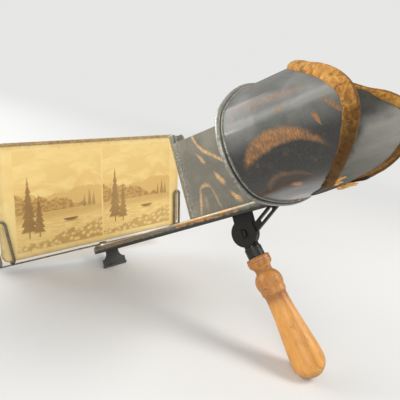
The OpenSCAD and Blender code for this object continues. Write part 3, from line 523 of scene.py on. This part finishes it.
def wood(name, matrix, stretch, tones, scale=1.0):
    """Grain along one axis of the frame: material, coordinates, colour, height and roughness."""
    light, middle, dark = tones
    k = Mat(name, 0.46, Specular_IOR_Level=0.4, Coat_Weight=0.10, Coat_Roughness=0.32)
    p = k.coords(matrix)
    rings = k.noise(k.scale(p, stretch), 0.16 * scale, 5.0, 0.62, 1.2)
    longer = tuple(s if s == 1.0 else s * 0.35 for s in stretch)
    pores = k.noise(k.scale(p, longer), 1.9 * scale, 4.0, 0.7)
    fleck = k.step(pores, 0.58, 0.70)
    colour = k.ramp(rings, ((0.24, dark), (0.40, middle), (0.66, light)))
    blotch = k.step(k.noise(p, 0.045, 4.0, 0.6), 0.42, 0.70, 0.0, 0.55)
    colour = k.mix(blotch, colour, tuple(c * 0.72 for c in middle))
    colour = k.mix(k.mul(fleck, 0.35), colour, dark)
    height = k.add(k.mul(rings, 0.5), k.mul(fleck, -0.5))
    return k, p, colour, height, k.line(rings, 0.3, 0.7, 0.36, 0.52)


# heights on the turned handle, below its hinge
SHOULDER_Z, GROOVE_Z, COVE_Z, WAIST_Z, GRIP_END_Z = -19.4, -21.7, -28.8, -48.6, -107.0


def turned_wood():
    """Handle of pale hardwood, worn bare."""
    tones = ((0.88, 0.45, 0.115), (0.74, 0.335, 0.078), (0.46, 0.175, 0.040))
    k, p, colour, height, rough = wood("turned_wood", HANDLE, (1.0, 1.0, 0.07), tones)
    x, y, z = k.xyz(p)
    radius = k.length(x, y)
    coves = k.top(k.mul(k.step(k.apart(z, COVE_Z), 2.6, 0.6), k.step(radius, 7.6, 6.2)),
                  k.mul(k.step(k.apart(z, WAIST_Z), 4.5, 0.6), k.step(radius, 9.4, 7.4)),
                  k.step(k.apart(z, GROOVE_Z), 0.75, 0.15),
                  k.mul(k.step(z, SHOULDER_Z + 1.8, SHOULDER_Z),
                        k.step(z, SHOULDER_Z - 1.4, SHOULDER_Z)))
    coves = k.mul(coves, k.line(k.noise(p, 0.25, 4.0), 0.3, 0.7, 0.25, 0.75))
    colour = k.mix(coves, colour, (0.12, 0.042, 0.013))
    end = k.step(z, GRIP_END_Z + 7.0, GRIP_END_Z)
    colour = k.mix(k.mul(end, 0.55), colour, (0.16, 0.065, 0.025))
    handled = k.step(k.noise(k.scale(p, (1.0, 1.0, 0.4)), 0.10, 4.0, 0.6), 0.50, 0.72)
    colour = k.mix(k.mul(handled, 0.38), colour, (0.30, 0.115, 0.030))
    # the neck and ball are redder and dirtier than the shaft
    neck = k.line(k.noise(p, 0.14, 4.0, 0.65), 0.3, 0.7, 0.25, 0.80)
    colour = k.mix(k.mul(k.step(z, -64.0, -46.0), neck), colour, (0.34, 0.125, 0.036))
    grubby = k.step(k.noise(p, 0.30, 5.0, 0.7, 0.5), 0.54, 0.66)
    grubby = k.mul(grubby, k.step(z, -66.0, -44.0))
    colour = k.mix(k.mul(grubby, 0.6), colour, (0.11, 0.042, 0.015))
    # drying cracks along the shaft, most at its end
    cracks = k.noise(k.scale(p, (1.0, 1.0, 0.035)), 0.55, 5.0, 0.75, 0.6)
    cracks = k.step(k.sub(cracks, k.step(z, -90.0, -104.0, 0.0, -0.05)), 0.635, 0.665)
    cracks = k.mul(cracks, k.step(z, -46.0, -56.0))
    colour = k.mix(k.mul(cracks, 0.65), colour, (0.09, 0.035, 0.014))
    turning = k.m("SINE", k.mul(z, 9.0))
    height = k.total(height, k.mul(cracks, -1.6), k.mul(turning, 0.05))
    return k.finish(colour, rough, k.bump(height, 0.35, 0.0006))


def filler_wood():
    tones = ((0.42, 0.27, 0.14), (0.31, 0.18, 0.085), (0.17, 0.09, 0.04))
    k, _, colour, height, rough = wood("filler_wood", RAIL, (1.0, 0.08, 1.0), tones, 1.4)
    return k.finish(colour, k.add(rough, 0.2), k.bump(height, 0.35, 0.0005))


# Glass, plush and cards

def lens_glass():
    k = Mat("lens_glass", 0.03, Transmission_Weight=1.0, IOR=1.5)
    p = k.coords(RAIL)
    smear = k.step(k.noise(p, 0.12, 5.0, 0.7, 1.0), 0.50, 0.80)
    return k.finish(k.mix(smear, (0.96, 0.98, 0.97), (0.90, 0.92, 0.90)),
                    k.line(smear, 0.0, 1.0, 0.02, 0.10), k.bump(k.noise(p, 1.5, 2.0), 0.01, 0.0001))


PILE = ((0.33, (0.14, 0.052, 0.012)), (0.47, (0.46, 0.205, 0.048)), (0.62, (0.78, 0.410, 0.110)))


def plush(name="brown_plush", torn=False):
    """Short brown pile, rubbed thin along its crown; the torn tufts are paler and cleaner."""
    k = Mat(name, 0.9, Sheen_Weight=0.22, Sheen_Roughness=0.45, Specular_IOR_Level=0.15,
            Sheen_Tint=(0.95, 0.62, 0.30, 1.0))
    p = k.coords(RAIL)
    clump = k.noise(p, 0.35, 5.0, 0.65, 0.5)
    pile = k.noise(p, 2.4, 4.0, 0.7)
    relief = k.bump(k.add(k.mul(clump, 0.7), k.mul(pile, 0.5)), 0.75, 0.0009)
    colour = k.ramp(k.add(k.mul(clump, 0.75), k.mul(pile, 0.25)), PILE)
    rub = k.step(k.noise(p, 0.08, 3.0), 0.46, 0.68)
    colour = k.mix(k.mul(rub, 0.4), colour, (0.80, 0.45, 0.130))
    stain = k.step(k.noise(k.scale(p, (1.0, 1.0, 1.3)), 0.11, 4.0, 0.6), 0.56, 0.70)
    colour = k.mix(k.mul(stain, 0.6), colour, (0.065, 0.028, 0.012))
    if torn:
        return k.finish(k.mix(0.6, colour, (0.86, 0.52, 0.20)), None, relief)
    # painted shade: darker low on the cheeks, more on faces turned down, and on faces turned toward
    # the face
    x, _, z = k.xyz(p)
    _, ny, nz = k.xyz(k.normal(RAIL))
    amount = k.mul(k.step(k.add(z, k.mul(clump, 18.0)), 56.0, 20.0), k.step(nz, 0.6, -0.2, 0.70, 1.0))
    # painted shade on the faces turned toward the face
    inward_shade = k.sub(k.mul(ny, -1.0), k.mul(k.m("ABSOLUTE", nz), 0.35))
    inward_shade = k.mul(k.step(inward_shade, 0.25, 0.75), 0.8)
    amount = k.mul(k.top(amount, inward_shade), k.line(pile, 0.35, 0.65, 0.82, 0.98))
    colour = k.mix(amount, colour, (0.030, 0.011, 0.003))
    # bare black backing along the hood's floor round the nose notch, where the pile is torn off
    floor = k.add(k.mul(k.mul(x, x), FLOOR_RISE), FLOOR)
    bare = k.step(k.m("ABSOLUTE", x), NOSE_R, NOSE_R - 2.5)
    bare = k.mul(k.step(k.apart(z, floor), 1.3, 0.9), bare)
    return k.finish(k.mix(k.mul(bare, 0.9), colour, (0.022, 0.015, 0.010)), None, relief)


CARD_HALF_W, CARD_H = 89.2, 88.0


def card_stock(name, tones, printed=False):
    """Cream mount of an old card, with a printed pair of views on the front one."""
    k = Mat(name, 0.62, Specular_IOR_Level=0.35)
    p = k.coords(CARD)
    x, _, z = k.xyz(p)
    fibre = k.noise(p, 1.4, 5.0, 0.7)
    age = k.noise(p, 0.03, 4.0, 0.6)
    colour = k.ramp(age, tuple(zip((0.35, 0.62), tones)))
    colour = k.mix(k.step(fibre, 0.50, 0.72, 0.0, 0.22), colour, (0.62, 0.40, 0.13))
    # corners and edges darker from handling; the cut edges darkest, with grime and with painted shade
    # of the gaps between the stacked cards
    edge = k.top(k.step(k.m("ABSOLUTE", x), CARD_HALF_W - 4.7, CARD_HALF_W),
                 k.step(z, 3.5, 0.0), k.step(z, CARD_H - 4.0, CARD_H))
    edge = k.mul(edge, k.line(k.noise(p, 0.18, 4.0), 0.3, 0.7, 0.12, 0.55))
    colour = k.mix(edge, colour, (0.50, 0.34, 0.14))
    cut_edge_grime_and_shade = k.mul(k.top(k.step(z, CARD_H - 0.5, CARD_H - 0.1), k.step(z, 0.5, 0.1)), 0.7)
    cut_edge_grime_and_shade = k.mul(cut_edge_grime_and_shade, k.line(k.noise(p, 0.5, 4.0), 0.35, 0.65, 0.35, 0.95))
    colour = k.mix(cut_edge_grime_and_shade, colour, (0.16, 0.085, 0.035))
    foxing = k.step(k.cells(p, 0.09), 0.13, 0.03)
    colour = k.mix(k.mul(foxing, 0.3), colour, (0.45, 0.27, 0.10))
    rough = k.line(fibre, 0.3, 0.7, 0.52, 0.72)
    if printed:
        colour, inside = lake_view(k, p, colour)
        rough = k.sub(rough, k.mul(inside, 0.12))
    return k.finish(colour, rough, k.bump(k.add(fibre, k.mul(age, 0.6)), 0.12, 0.0003))


PALE, LIGHT, MIDTONE = (0.88, 0.660, 0.268), (0.79, 0.520, 0.176), (0.55, 0.320, 0.095)
DEEP, DARK = (0.33, 0.160, 0.045), (0.20, 0.088, 0.026)
FADED = (0.89, 0.67, 0.275)
VIEW_W, VIEW_H = 78.6, 80.5             # one of the two views, in mm
LAKE_TOP = 30.0                         # height of the far shore in it
# firs: place across, foot, height, half width, strength
FIRS = ((-27.0, 14.0, 46.0, 7.5, 1.0), (-18.5, 13.0, 33.0, 5.5, 0.9),
        (27.5, LAKE_TOP, 15.0, 2.8, 0.75), (22.5, LAKE_TOP, 11.0, 2.2, 0.7),
        (31.5, LAKE_TOP, 12.0, 2.4, 0.7))


def lake_view(k, p, mount):
    """Two almost equal sepia views side by side, of no real place: hills, a lake, firs, a boat."""
    x, y, z = k.xyz(p)
    side = k.m("GREATER_THAN", x, 0.0)
    a = k.sub(x, k.sub(k.mul(side, VIEW_W), VIEW_W / 2))    # across one view
    v = k.sub(z, 4.5)                                       # up the view
    shift = k.mul(k.sub(side, 0.5), 1.4)                    # what is near differs in the pair
    edge = k.mul(k.step(k.m("ABSOLUTE", a), 39.0, 38.2),
                 k.mul(k.step(v, 0.0, 0.8), k.step(v, VIEW_H, VIEW_H - 1.2)))
    inside = k.mul(edge, k.m("LESS_THAN", y, 0.25))

    def wavy(offset, scale, height, base, slope):
        n = k.noise(k.vec(k.add(a, offset), offset), scale, 4.0, 0.55)
        return k.total(k.mul(k.sub(n, 0.5), height), base, k.mul(a, slope))

    clouds = k.noise(k.vec(k.mul(a, 0.5), k.mul(v, 1.3)), 0.07, 5.0, 0.6, 0.6)
    view = k.mix(k.step(clouds, 0.42, 0.62), LIGHT, PALE)
    view = k.mix(k.step(v, 40.0, 80.0, 0.0, 0.45), view, PALE)
    grit = k.noise(p, 1.5, 5.0, 0.7)
    far = k.mix(k.step(grit, 0.4, 0.65), LIGHT, MIDTONE)
    view = k.mix(k.step(k.sub(wavy(11.0, 0.045, 30.0, 45.0, 0.10), v), -0.5, 0.5), view, far)
    rocks = k.noise(k.vec(k.mul(a, 0.6), v), 0.45, 5.0, 0.7)
    near = k.mix(k.step(rocks, 0.42, 0.60), MIDTONE, DEEP)
    ridge = wavy(k.add(shift, 71.0), 0.075, 24.0, 37.0, -0.22)
    view = k.mix(k.step(k.sub(ridge, v), -0.4, 0.4), view, near)
    # lake with the hills' reflection
    ripple = k.noise(k.vec(k.mul(a, 0.12), v), 0.9, 4.0, 0.6)
    mirror = k.step(k.add(v, k.mul(k.sub(ripple, 0.5), 5.0)), 20.0, 28.0)
    water = k.mix(k.mul(mirror, 0.7), k.mix(k.step(ripple, 0.42, 0.62), LIGHT, PALE), MIDTONE)
    view = k.mix(k.step(v, LAKE_TOP + 0.4, LAKE_TOP - 0.2), view, water)
    # shore and stones at the front
    shore = wavy(k.add(k.mul(shift, 2.0), 31.0), 0.06, 18.0, 10.0, 0.16)
    stones = k.cells(k.vec(k.mul(a, 0.8), v), 0.30)
    ground = k.mix(k.step(stones, 0.15, 0.65), PALE, MIDTONE)
    ground = k.mix(k.step(grit, 0.52, 0.66), ground, DEEP)
    view = k.mix(k.step(k.sub(shore, v), -0.3, 0.5), view, ground)
    needles = k.mix(k.step(grit, 0.42, 0.62), DARK, DEEP)
    ragged = k.sub(k.noise(k.vec(a, v), 1.1, 4.0, 0.7), 0.5)
    for at, foot, tall, wide, strength in FIRS:
        up = k.mul(k.sub(v, foot), 1.0 / tall)
        saw = k.line(k.m("FRACT", k.mul(up, 7.0)), 0.0, 1.0, 1.05, 0.60)
        half = k.mul(k.mul(k.sub(1.0, up), wide), saw)
        half = k.add(half, k.mul(ragged, 0.45 * wide))
        off = k.apart(k.sub(a, k.mul(shift, 1.5)), at)
        crown = k.mul(k.step(up, 0.0, 0.06), k.step(up, 1.0, 0.96))
        crown = k.mul(k.step(k.sub(half, off), -0.3, 0.5), crown)
        view = k.mix(k.mul(crown, strength), view, needles)
        trunk = k.mul(k.step(off, 0.7, 0.3), k.mul(k.step(up, -0.10, -0.06), k.step(up, 0.1, 0.0)))
        view = k.mix(k.mul(trunk, strength), view, DARK)
    # rowing boat with its shadow on the water
    boat = k.add(shift, 9.0)
    hull = k.mul(k.leaf(a, v, boat, 21.6, 0, 6.5, 1.9, 0.2), k.step(v, 22.2, 21.8))
    view = k.mix(hull, view, DARK)
    view = k.mix(k.mul(k.leaf(a, v, boat, 19.2, 0, 7.0, 0.6, 0.5), 0.6), view, DEEP)
    view = k.mix(k.line(k.noise(p, 0.02, 3.0), 0.35, 0.7, 0.04, 0.30), view, FADED)
    return k.mix(k.mul(inside, 0.97), mount, view), inside


# Which node has which finish

FINISH = (
    (japan("japan_hood", hood_plane, hood_strokes, HOOD_HAZE, UNDER_VARNISH,
           wear=rim_wear, inside=hood_inside, veil=hood_scuffs_and_reflection),
     ("hood",)),
    (japan("japan_septum", side_plane, septum_strokes, SEPTUM_HAZE, WORN_GOLD, wear=septum_wear),
     ("septum",)),
    (japan("japan_plain", side_plane, stray_paint, BOARD_HAZE, UNDER_VARNISH),
     ("lens_board", "left_lens_frame", "right_lens_frame", "finger_tab")),
    (worn_tin("rail_tin", RAIL, base=(0.36, 0.345, 0.265), rust=(0.22, 0.115, 0.045),
              paint=(0.022, 0.019, 0.015), levels=(-3.0, -4.4)),
     ("rail", "guide_plate", "swivel_washer")),
    (worn_tin("holder_tin", HOLDER, base=(0.22, 0.20, 0.17), rust=(0.17, 0.085, 0.035),
              paint=(0.022, 0.02, 0.018)),
     ("crossbar",)),
    (metal("black_iron", RAIL,
           ((0.005, 0.005, 0.004), (0.014, 0.013, 0.011), (0.024, 0.018, 0.012)), metallic=0.0,
           rough=0.46, relief=0.45, grain=0.7, gloss=0.3),
     ("handle_bracket", "pivot_screw", "pivot_nut")),
    (metal("ferrule_iron", HANDLE,
           ((0.006, 0.006, 0.005), (0.020, 0.019, 0.016), (0.035, 0.025, 0.015)), metallic=0.0,
           rough=0.40, relief=0.35, grain=0.8, gloss=0.35),
     ("handle_ferrule",)),
    (metal("clip_wire", HOLDER, ((0.16, 0.12, 0.085), (0.36, 0.31, 0.24), (0.15, 0.085, 0.045)),
           metallic=0.85, rough=0.36, relief=0.25, grain=1.4),
     ("left_card_clip", "right_card_clip")),
    (metal("screw_steel", RAIL, ((0.10, 0.09, 0.08), (0.30, 0.28, 0.24), (0.10, 0.06, 0.03)),
           metallic=0.9, rough=0.36, relief=0.25, grain=1.6),
     ("bracket_screws", "handle_tang", "ferrule_pin")),
    (metal("old_brass", RAIL, ((0.26, 0.17, 0.07), (0.50, 0.38, 0.18), (0.13, 0.09, 0.05)),
           metallic=0.9, rough=0.36, relief=0.2, grain=1.5),
     ("lens_frame_screws", "septum_rivets", "rail_rivets", "slide_stud", "friction_spring")),
    (turned_wood(), ("handle_grip",)),
    (filler_wood(), ("rail_filler",)),
    (lens_glass(), ("left_lens", "right_lens")),
    (card_stock("card_print", ((0.84, 0.595, 0.228), (0.90, 0.705, 0.312)), printed=True),
     ("front_card",)),
    (card_stock("card_plain", ((0.60, 0.42, 0.19), (0.74, 0.56, 0.29))),
     ("middle_card", "back_card")),
)
for material, names in FINISH:
    for name in names:
        nodes[name].data.materials.clear()
        nodes[name].data.materials.append(material)


def new_object(name, verts, faces, *materials):
    mesh = bpy.data.meshes.new(name)
    mesh.from_pydata(verts, [], faces)
    mesh.update()
    for material in materials:
        mesh.materials.append(material)
    obj = bpy.data.objects.new(name, mesh)
    bpy.context.scene.collection.objects.link(obj)
    return obj


# Plush edging

def section(s):
    """Point and outward normal (x, n, nx, nn) of the hood's outer face.

    s runs round the section in mm, from the floor's middle.
    """
    s = (s + HALF_LOOP) % (2 * HALF_LOOP) - HALF_LOOP
    sign, s = (1.0, s) if s >= 0 else (-1.0, -s)
    for cx, cz, r, t0, t1 in ARCS:
        length = r * (t1 - t0)
        if s <= length + 1e-9:
            c, si = math.cos(t0 + s / r), math.sin(t0 + s / r)
            return sign * (cx + r * c), cz + r * si, sign * c, si
        s -= length
    return 0.0, TOP_C + TOP_R, 0.0, 1.0


def rim_y(x, n):
    """Where the hood's sheet ends toward the face, at a point of its section."""
    y = FACE_Y + math.sqrt(max(FACE_R ** 2 - x * x, 0.0))
    if abs(x) < NOSE_R and n < NOSE_TOP:
        y = max(y, NOSE_Y + math.sqrt(NOSE_R ** 2 - x * x))
    return y


def smooth(t):
    t = min(max(t, 0.0), 1.0)
    return t * t * (3 - 2 * t)


PILE_W, PILE_T = 8.5, 2.5               # width and thickness of the pile where it is whole
INNER_T = 0.72                          # thickness inside the hood, as a share of that outside
OVER_EDGE = 0.88                        # how far it stands out past the sheet's edge, in the same
BOXY = 0.22                             # squares the oval of its profile
CORNER_PASSES = 10                      # passes that round off the corners of the nose notch


def trim_shape(x, n):
    """Width and thickness of the pile: less low down, worn along the far brow and at the nose."""
    wide = PILE_W - 2.0 * smooth((24.0 - n) / 20.0)
    thick = PILE_T - 0.4 * smooth((20.0 - n) / 20.0)
    if n > MID:
        worn = smooth((x - 2.0) / 14.0) * smooth((64.0 - x) / 10.0)
        wide, thick = wide - 5.2 * worn, thick - 1.7 * worn
    elif n < 6.0:
        worn = smooth((35.0 - abs(x)) / 7.0)
        wide, thick = wide - 6.0 * worn, thick - 2.1 * worn
    return wide, thick


def frayed(x, n):
    """1 where the pile is torn, by the near corner of the nose notch."""
    return smooth((x + 50.0) / 8.0) * smooth((-26.0 - x) / 6.0) * smooth((8.0 - n) / 6.0)


def edging(verts, faces, steps=560, ring=26):
    """The strip folded over the edge: steps rings along it, each once round its profile."""
    loop = 2 * HALF_LOOP
    stations = [i * loop / steps - HALF_LOOP for i in range(steps)]
    ys = [rim_y(*section(s)[:2]) for s in stations]
    for _ in range(CORNER_PASSES):
        ys = [(ys[i - 1] + 2 * ys[i] + ys[(i + 1) % steps]) / 4 for i in range(steps)]
    for i, s in enumerate(stations):
        slope = (ys[(i + 1) % steps] - ys[i - 1]) / (2 * loop / steps)
        norm = math.hypot(1.0, slope)
        into_s, into_y = -slope / norm, 1.0 / norm
        x, n, _, _ = section(s)
        wide, thick = trim_shape(x, n)
        torn = frayed(x, n)
        lump = noise.noise(Vector((s * 0.09, 3.1, 0.0)))
        lump += 0.5 * noise.noise(Vector((s * 0.35, 7.7, 0.0)))
        for j in range(ring):
            # outer face, over the edge, inner face, back through the sheet's line
            c, si = math.cos(2 * math.pi * j / ring), math.sin(2 * math.pi * j / ring)
            rag = 0.7 * noise.noise(Vector((s * 0.22, si * 1.2, 5.0)))
            rag += 0.45 * noise.noise(Vector((s * 0.9, c * 2.0, 9.0)))
            square = max(abs(c), abs(si)) ** BOXY
            along = wide / 2 - 0.3 - OVER_EDGE * thick + c * (wide / 2 + 0.1) / square * 0.95
            along += (rag * (0.45 + 2.4 * torn) + lump * 0.35) * smooth(c)
            along -= 2.0 * rag * torn * smooth(-c)
            face = 1.0 if si > 0 else INNER_T
            reach = SHEET / 2 + thick * face * (0.96 + 0.10 * rag + 0.10 * lump)
            off = -SHEET / 2 + si / square * 0.97 * reach
            x, n, nx, nn = section(s + along * into_s)
            verts.append(place((x + nx * off, ys[i] + along * into_y, n + nn * off)))
    for i in range(steps):
        here, there = i * ring, (i + 1) % steps * ring
        for j in range(ring):
            beside = (j + 1) % ring
            faces.append((here + j, here + beside, there + beside, there + j))


# torn tufts by the notch's near corner and on its far side: x of the root, turn from the face's
# direction and dip in radians, length and half width in mm
TUFTS = ((-35.0, 0.15, -0.25, 8.5, 1.8), (-36.8, -0.25, 0.05, 6.5, 1.4),
         (-33.2, 0.55, -0.10, 6.5, 1.4), (-34.0, 0.95, 0.20, 5.0, 1.1),
         (22.0, 0.20, 0.30, 7.0, 1.6), (24.5, 0.10, 0.22, 10.0, 1.8),
         (26.5, 0.35, 0.12, 9.0, 1.6), (28.0, -0.10, 0.30, 6.0, 1.2))


def tuft(verts, faces, n, x, yaw, dip, length, fat, rings=7, sides=8):
    """A tapered, waving lock of pile, closed at both ends; n tells the tufts apart."""
    low = BOT_C - math.sqrt(BOT_R ** 2 - x * x)
    base, first = Vector((x, rim_y(x, low) - 0.3, low - 0.3)), len(verts)
    ahead = Vector((math.sin(yaw), -math.cos(yaw), -dip)).normalized()
    side = ahead.cross(Vector((0, 0, 1))).normalized()
    over = side.cross(ahead)
    for i in range(rings):
        t = i / (rings - 1)
        wave = 0.9 * noise.noise(Vector((n * 3.7, t * 2.4, 1.0))) * t * 3.0
        mid = base + ahead * (length * t) + side * wave + over * (0.8 * math.sin(t * 4.0 + n) * t)
        radius = fat * (1.0 - 0.72 * t ** 1.5)
        radius *= 1.0 + 0.25 * noise.noise(Vector((n, t * 6.0, 4.0)))
        for j in range(sides):
            w = 2 * math.pi * j / sides
            out = side * (radius * math.cos(w)) + over * (0.7 * radius * math.sin(w))
            verts.append(place(mid + out))
    last = first + sides * (rings - 1)
    faces.append(tuple(range(first + sides - 1, first - 1, -1)))
    faces.append(tuple(range(last, last + sides)))
    for i in range(first, last, sides):
        for j in range(sides):
            a, b = i + j, i + (j + 1) % sides
            faces.append((a, b, b + sides, a + sides))


def build_trim():
    verts, faces = [], []
    edging(verts, faces)
    whole = len(faces)
    for n, row in enumerate(TUFTS):
        tuft(verts, faces, n, *row)
    obj = new_object("plush_edging", verts, faces, plush(), plush("torn_plush", torn=True))
    for poly in obj.data.polygons:
        poly.use_smooth = True
        poly.material_index = int(poly.index >= whole)
    return obj


trim = build_trim()
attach(trim, "viewer")
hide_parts("hood_trim")

# Floor, light, camera

BACKDROP = (0.80, 0.80, 0.79)
FLOOR_HALF = 4.0                        # half the floor's side, in metres
FLOOR_DROP = 0.0002                     # keeps the floor just clear of what rests on it
FADE_FROM, FADE_TO = 0.30, 1.30         # metres out, where the floor turns into the backdrop
WORLD_LIGHT = 0.36


def seen(tree, sockets=()):
    """1 for rays from the camera, and for those of the sockets named."""
    paths = tree.nodes.new("ShaderNodeLightPath")
    value = paths.outputs["Is Camera Ray"]
    for name in sockets:
        add = tree.nodes.new("ShaderNodeMath")
        add.operation = "MAXIMUM"
        tree.links.new(value, add.inputs[0])
        tree.links.new(paths.outputs[name], add.inputs[1])
        value = add.outputs[0]
    return value


def floor_material():
    """Pale matt floor that runs into the backdrop's colour away from the object."""
    k = Mat("floor_pale", 0.9, Specular_IOR_Level=0.1)
    k.finish(BACKDROP)
    tex = k.new("ShaderNodeTexCoord")
    flat = k.scale(tex.outputs["Object"], (1.0, 1.0, 0.0))
    far = k.new("ShaderNodeVectorMath", (flat,), operation="LENGTH").outputs["Value"]
    glow = k.new("ShaderNodeEmission", ((*BACKDROP, 1.0), 1.0))
    mix = k.new("ShaderNodeMixShader")
    k.put(mix.inputs[0], k.mul(k.step(far, FADE_FROM, FADE_TO), seen(k.tree)))
    k.put(mix.inputs[1], k.bsdf.outputs[0])
    k.put(mix.inputs[2], glow.outputs[0])
    k.put(k.out.inputs["Surface"], mix.outputs[0])
    return k.mat


corners = [(sx * FLOOR_HALF, sy * FLOOR_HALF, 0) for sx, sy in ((-1, -1), (1, -1), (1, 1), (-1, 1))]
floor = new_object("floor", corners, [(0, 1, 2, 3)], floor_material())
floor.location.z = -FLOOR_DROP

# name, place, width and height in metres, watts, colour
LIGHTS = (
    ("key", (0.55, -0.85, 1.20), 0.6, 0.6, 13.0, (1.0, 0.98, 0.95)),
    ("fill", (-1.30, -0.60, 0.70), 0.9, 0.9, 10.0, (1.0, 0.99, 0.97)),
    ("panel", (-0.30, 1.08, 0.52), 1.5, 0.85, 9.0, (1.0, 1.0, 1.0)),
    ("strip", (-0.32, 0.95, 0.34), 1.3, 0.05, 3.0, (1.0, 1.0, 1.0)),
)
LIT_POINT = Vector((0.0, -0.01, 0.11))
for name, at, width, height, watts, colour in LIGHTS:
    light = bpy.data.lights.new(name, "AREA")
    light.shape, light.size, light.size_y = "RECTANGLE", width, height
    light.energy, light.color = watts, colour
    obj = bpy.data.objects.new(name, light)
    bpy.context.scene.collection.objects.link(obj)
    obj.location = at
    obj.rotation_euler = (LIT_POINT - Vector(at)).to_track_quat("-Z", "Y").to_euler()

world = bpy.data.worlds.new("studio")
bpy.context.scene.world = world
world.use_nodes = True
tree = world.node_tree
tree.nodes.clear()
glow = tree.nodes.new("ShaderNodeBackground")
glow.inputs["Color"].default_value = (1.0, 1.0, 1.0, 1.0)
glow.inputs["Strength"].default_value = WORLD_LIGHT
shown = tree.nodes.new("ShaderNodeBackground")
shown.inputs["Color"].default_value = (*BACKDROP, 1.0)
mix = tree.nodes.new("ShaderNodeMixShader")
out = tree.nodes.new("ShaderNodeOutputWorld")
tree.links.new(seen(tree, ("Is Transmission Ray",)), mix.inputs[0])
tree.links.new(glow.outputs[0], mix.inputs[1])
tree.links.new(shown.outputs[0], mix.inputs[2])
tree.links.new(mix.outputs[0], out.inputs["Surface"])

# camera fitted to the photo, in the rail frame: its place, its directions and its focal length
EYE = (-288.6, -212.8, -12.1)
AHEAD, ABOVE = Vector((0.818, 0.571, 0.0699)), Vector((0.0911, -0.2486, 0.9643))
FOCAL_PX, PHOTO_PX, SENSOR_MM = 465.62, 400.0, 36.0

camera = bpy.data.cameras.new("camera")
camera.sensor_fit = "HORIZONTAL"
camera.sensor_width = SENSOR_MM
camera.lens = FOCAL_PX / PHOTO_PX * SENSOR_MM
camera.clip_start = 0.01
look = (RAIL.to_3x3() @ AHEAD).normalized()
right = look.cross(RAIL.to_3x3() @ ABOVE).normalized()
turn = Matrix((right, right.cross(look), -look)).transposed()
camera_obj = bpy.data.objects.new("camera", camera)
bpy.context.scene.collection.objects.link(camera_obj)
camera_obj.matrix_world = Matrix.Translation(place(EYE)) @ turn.to_4x4()
bpy.context.scene.camera = camera_obj

bpy.context.scene.view_settings.view_transform = "Standard"
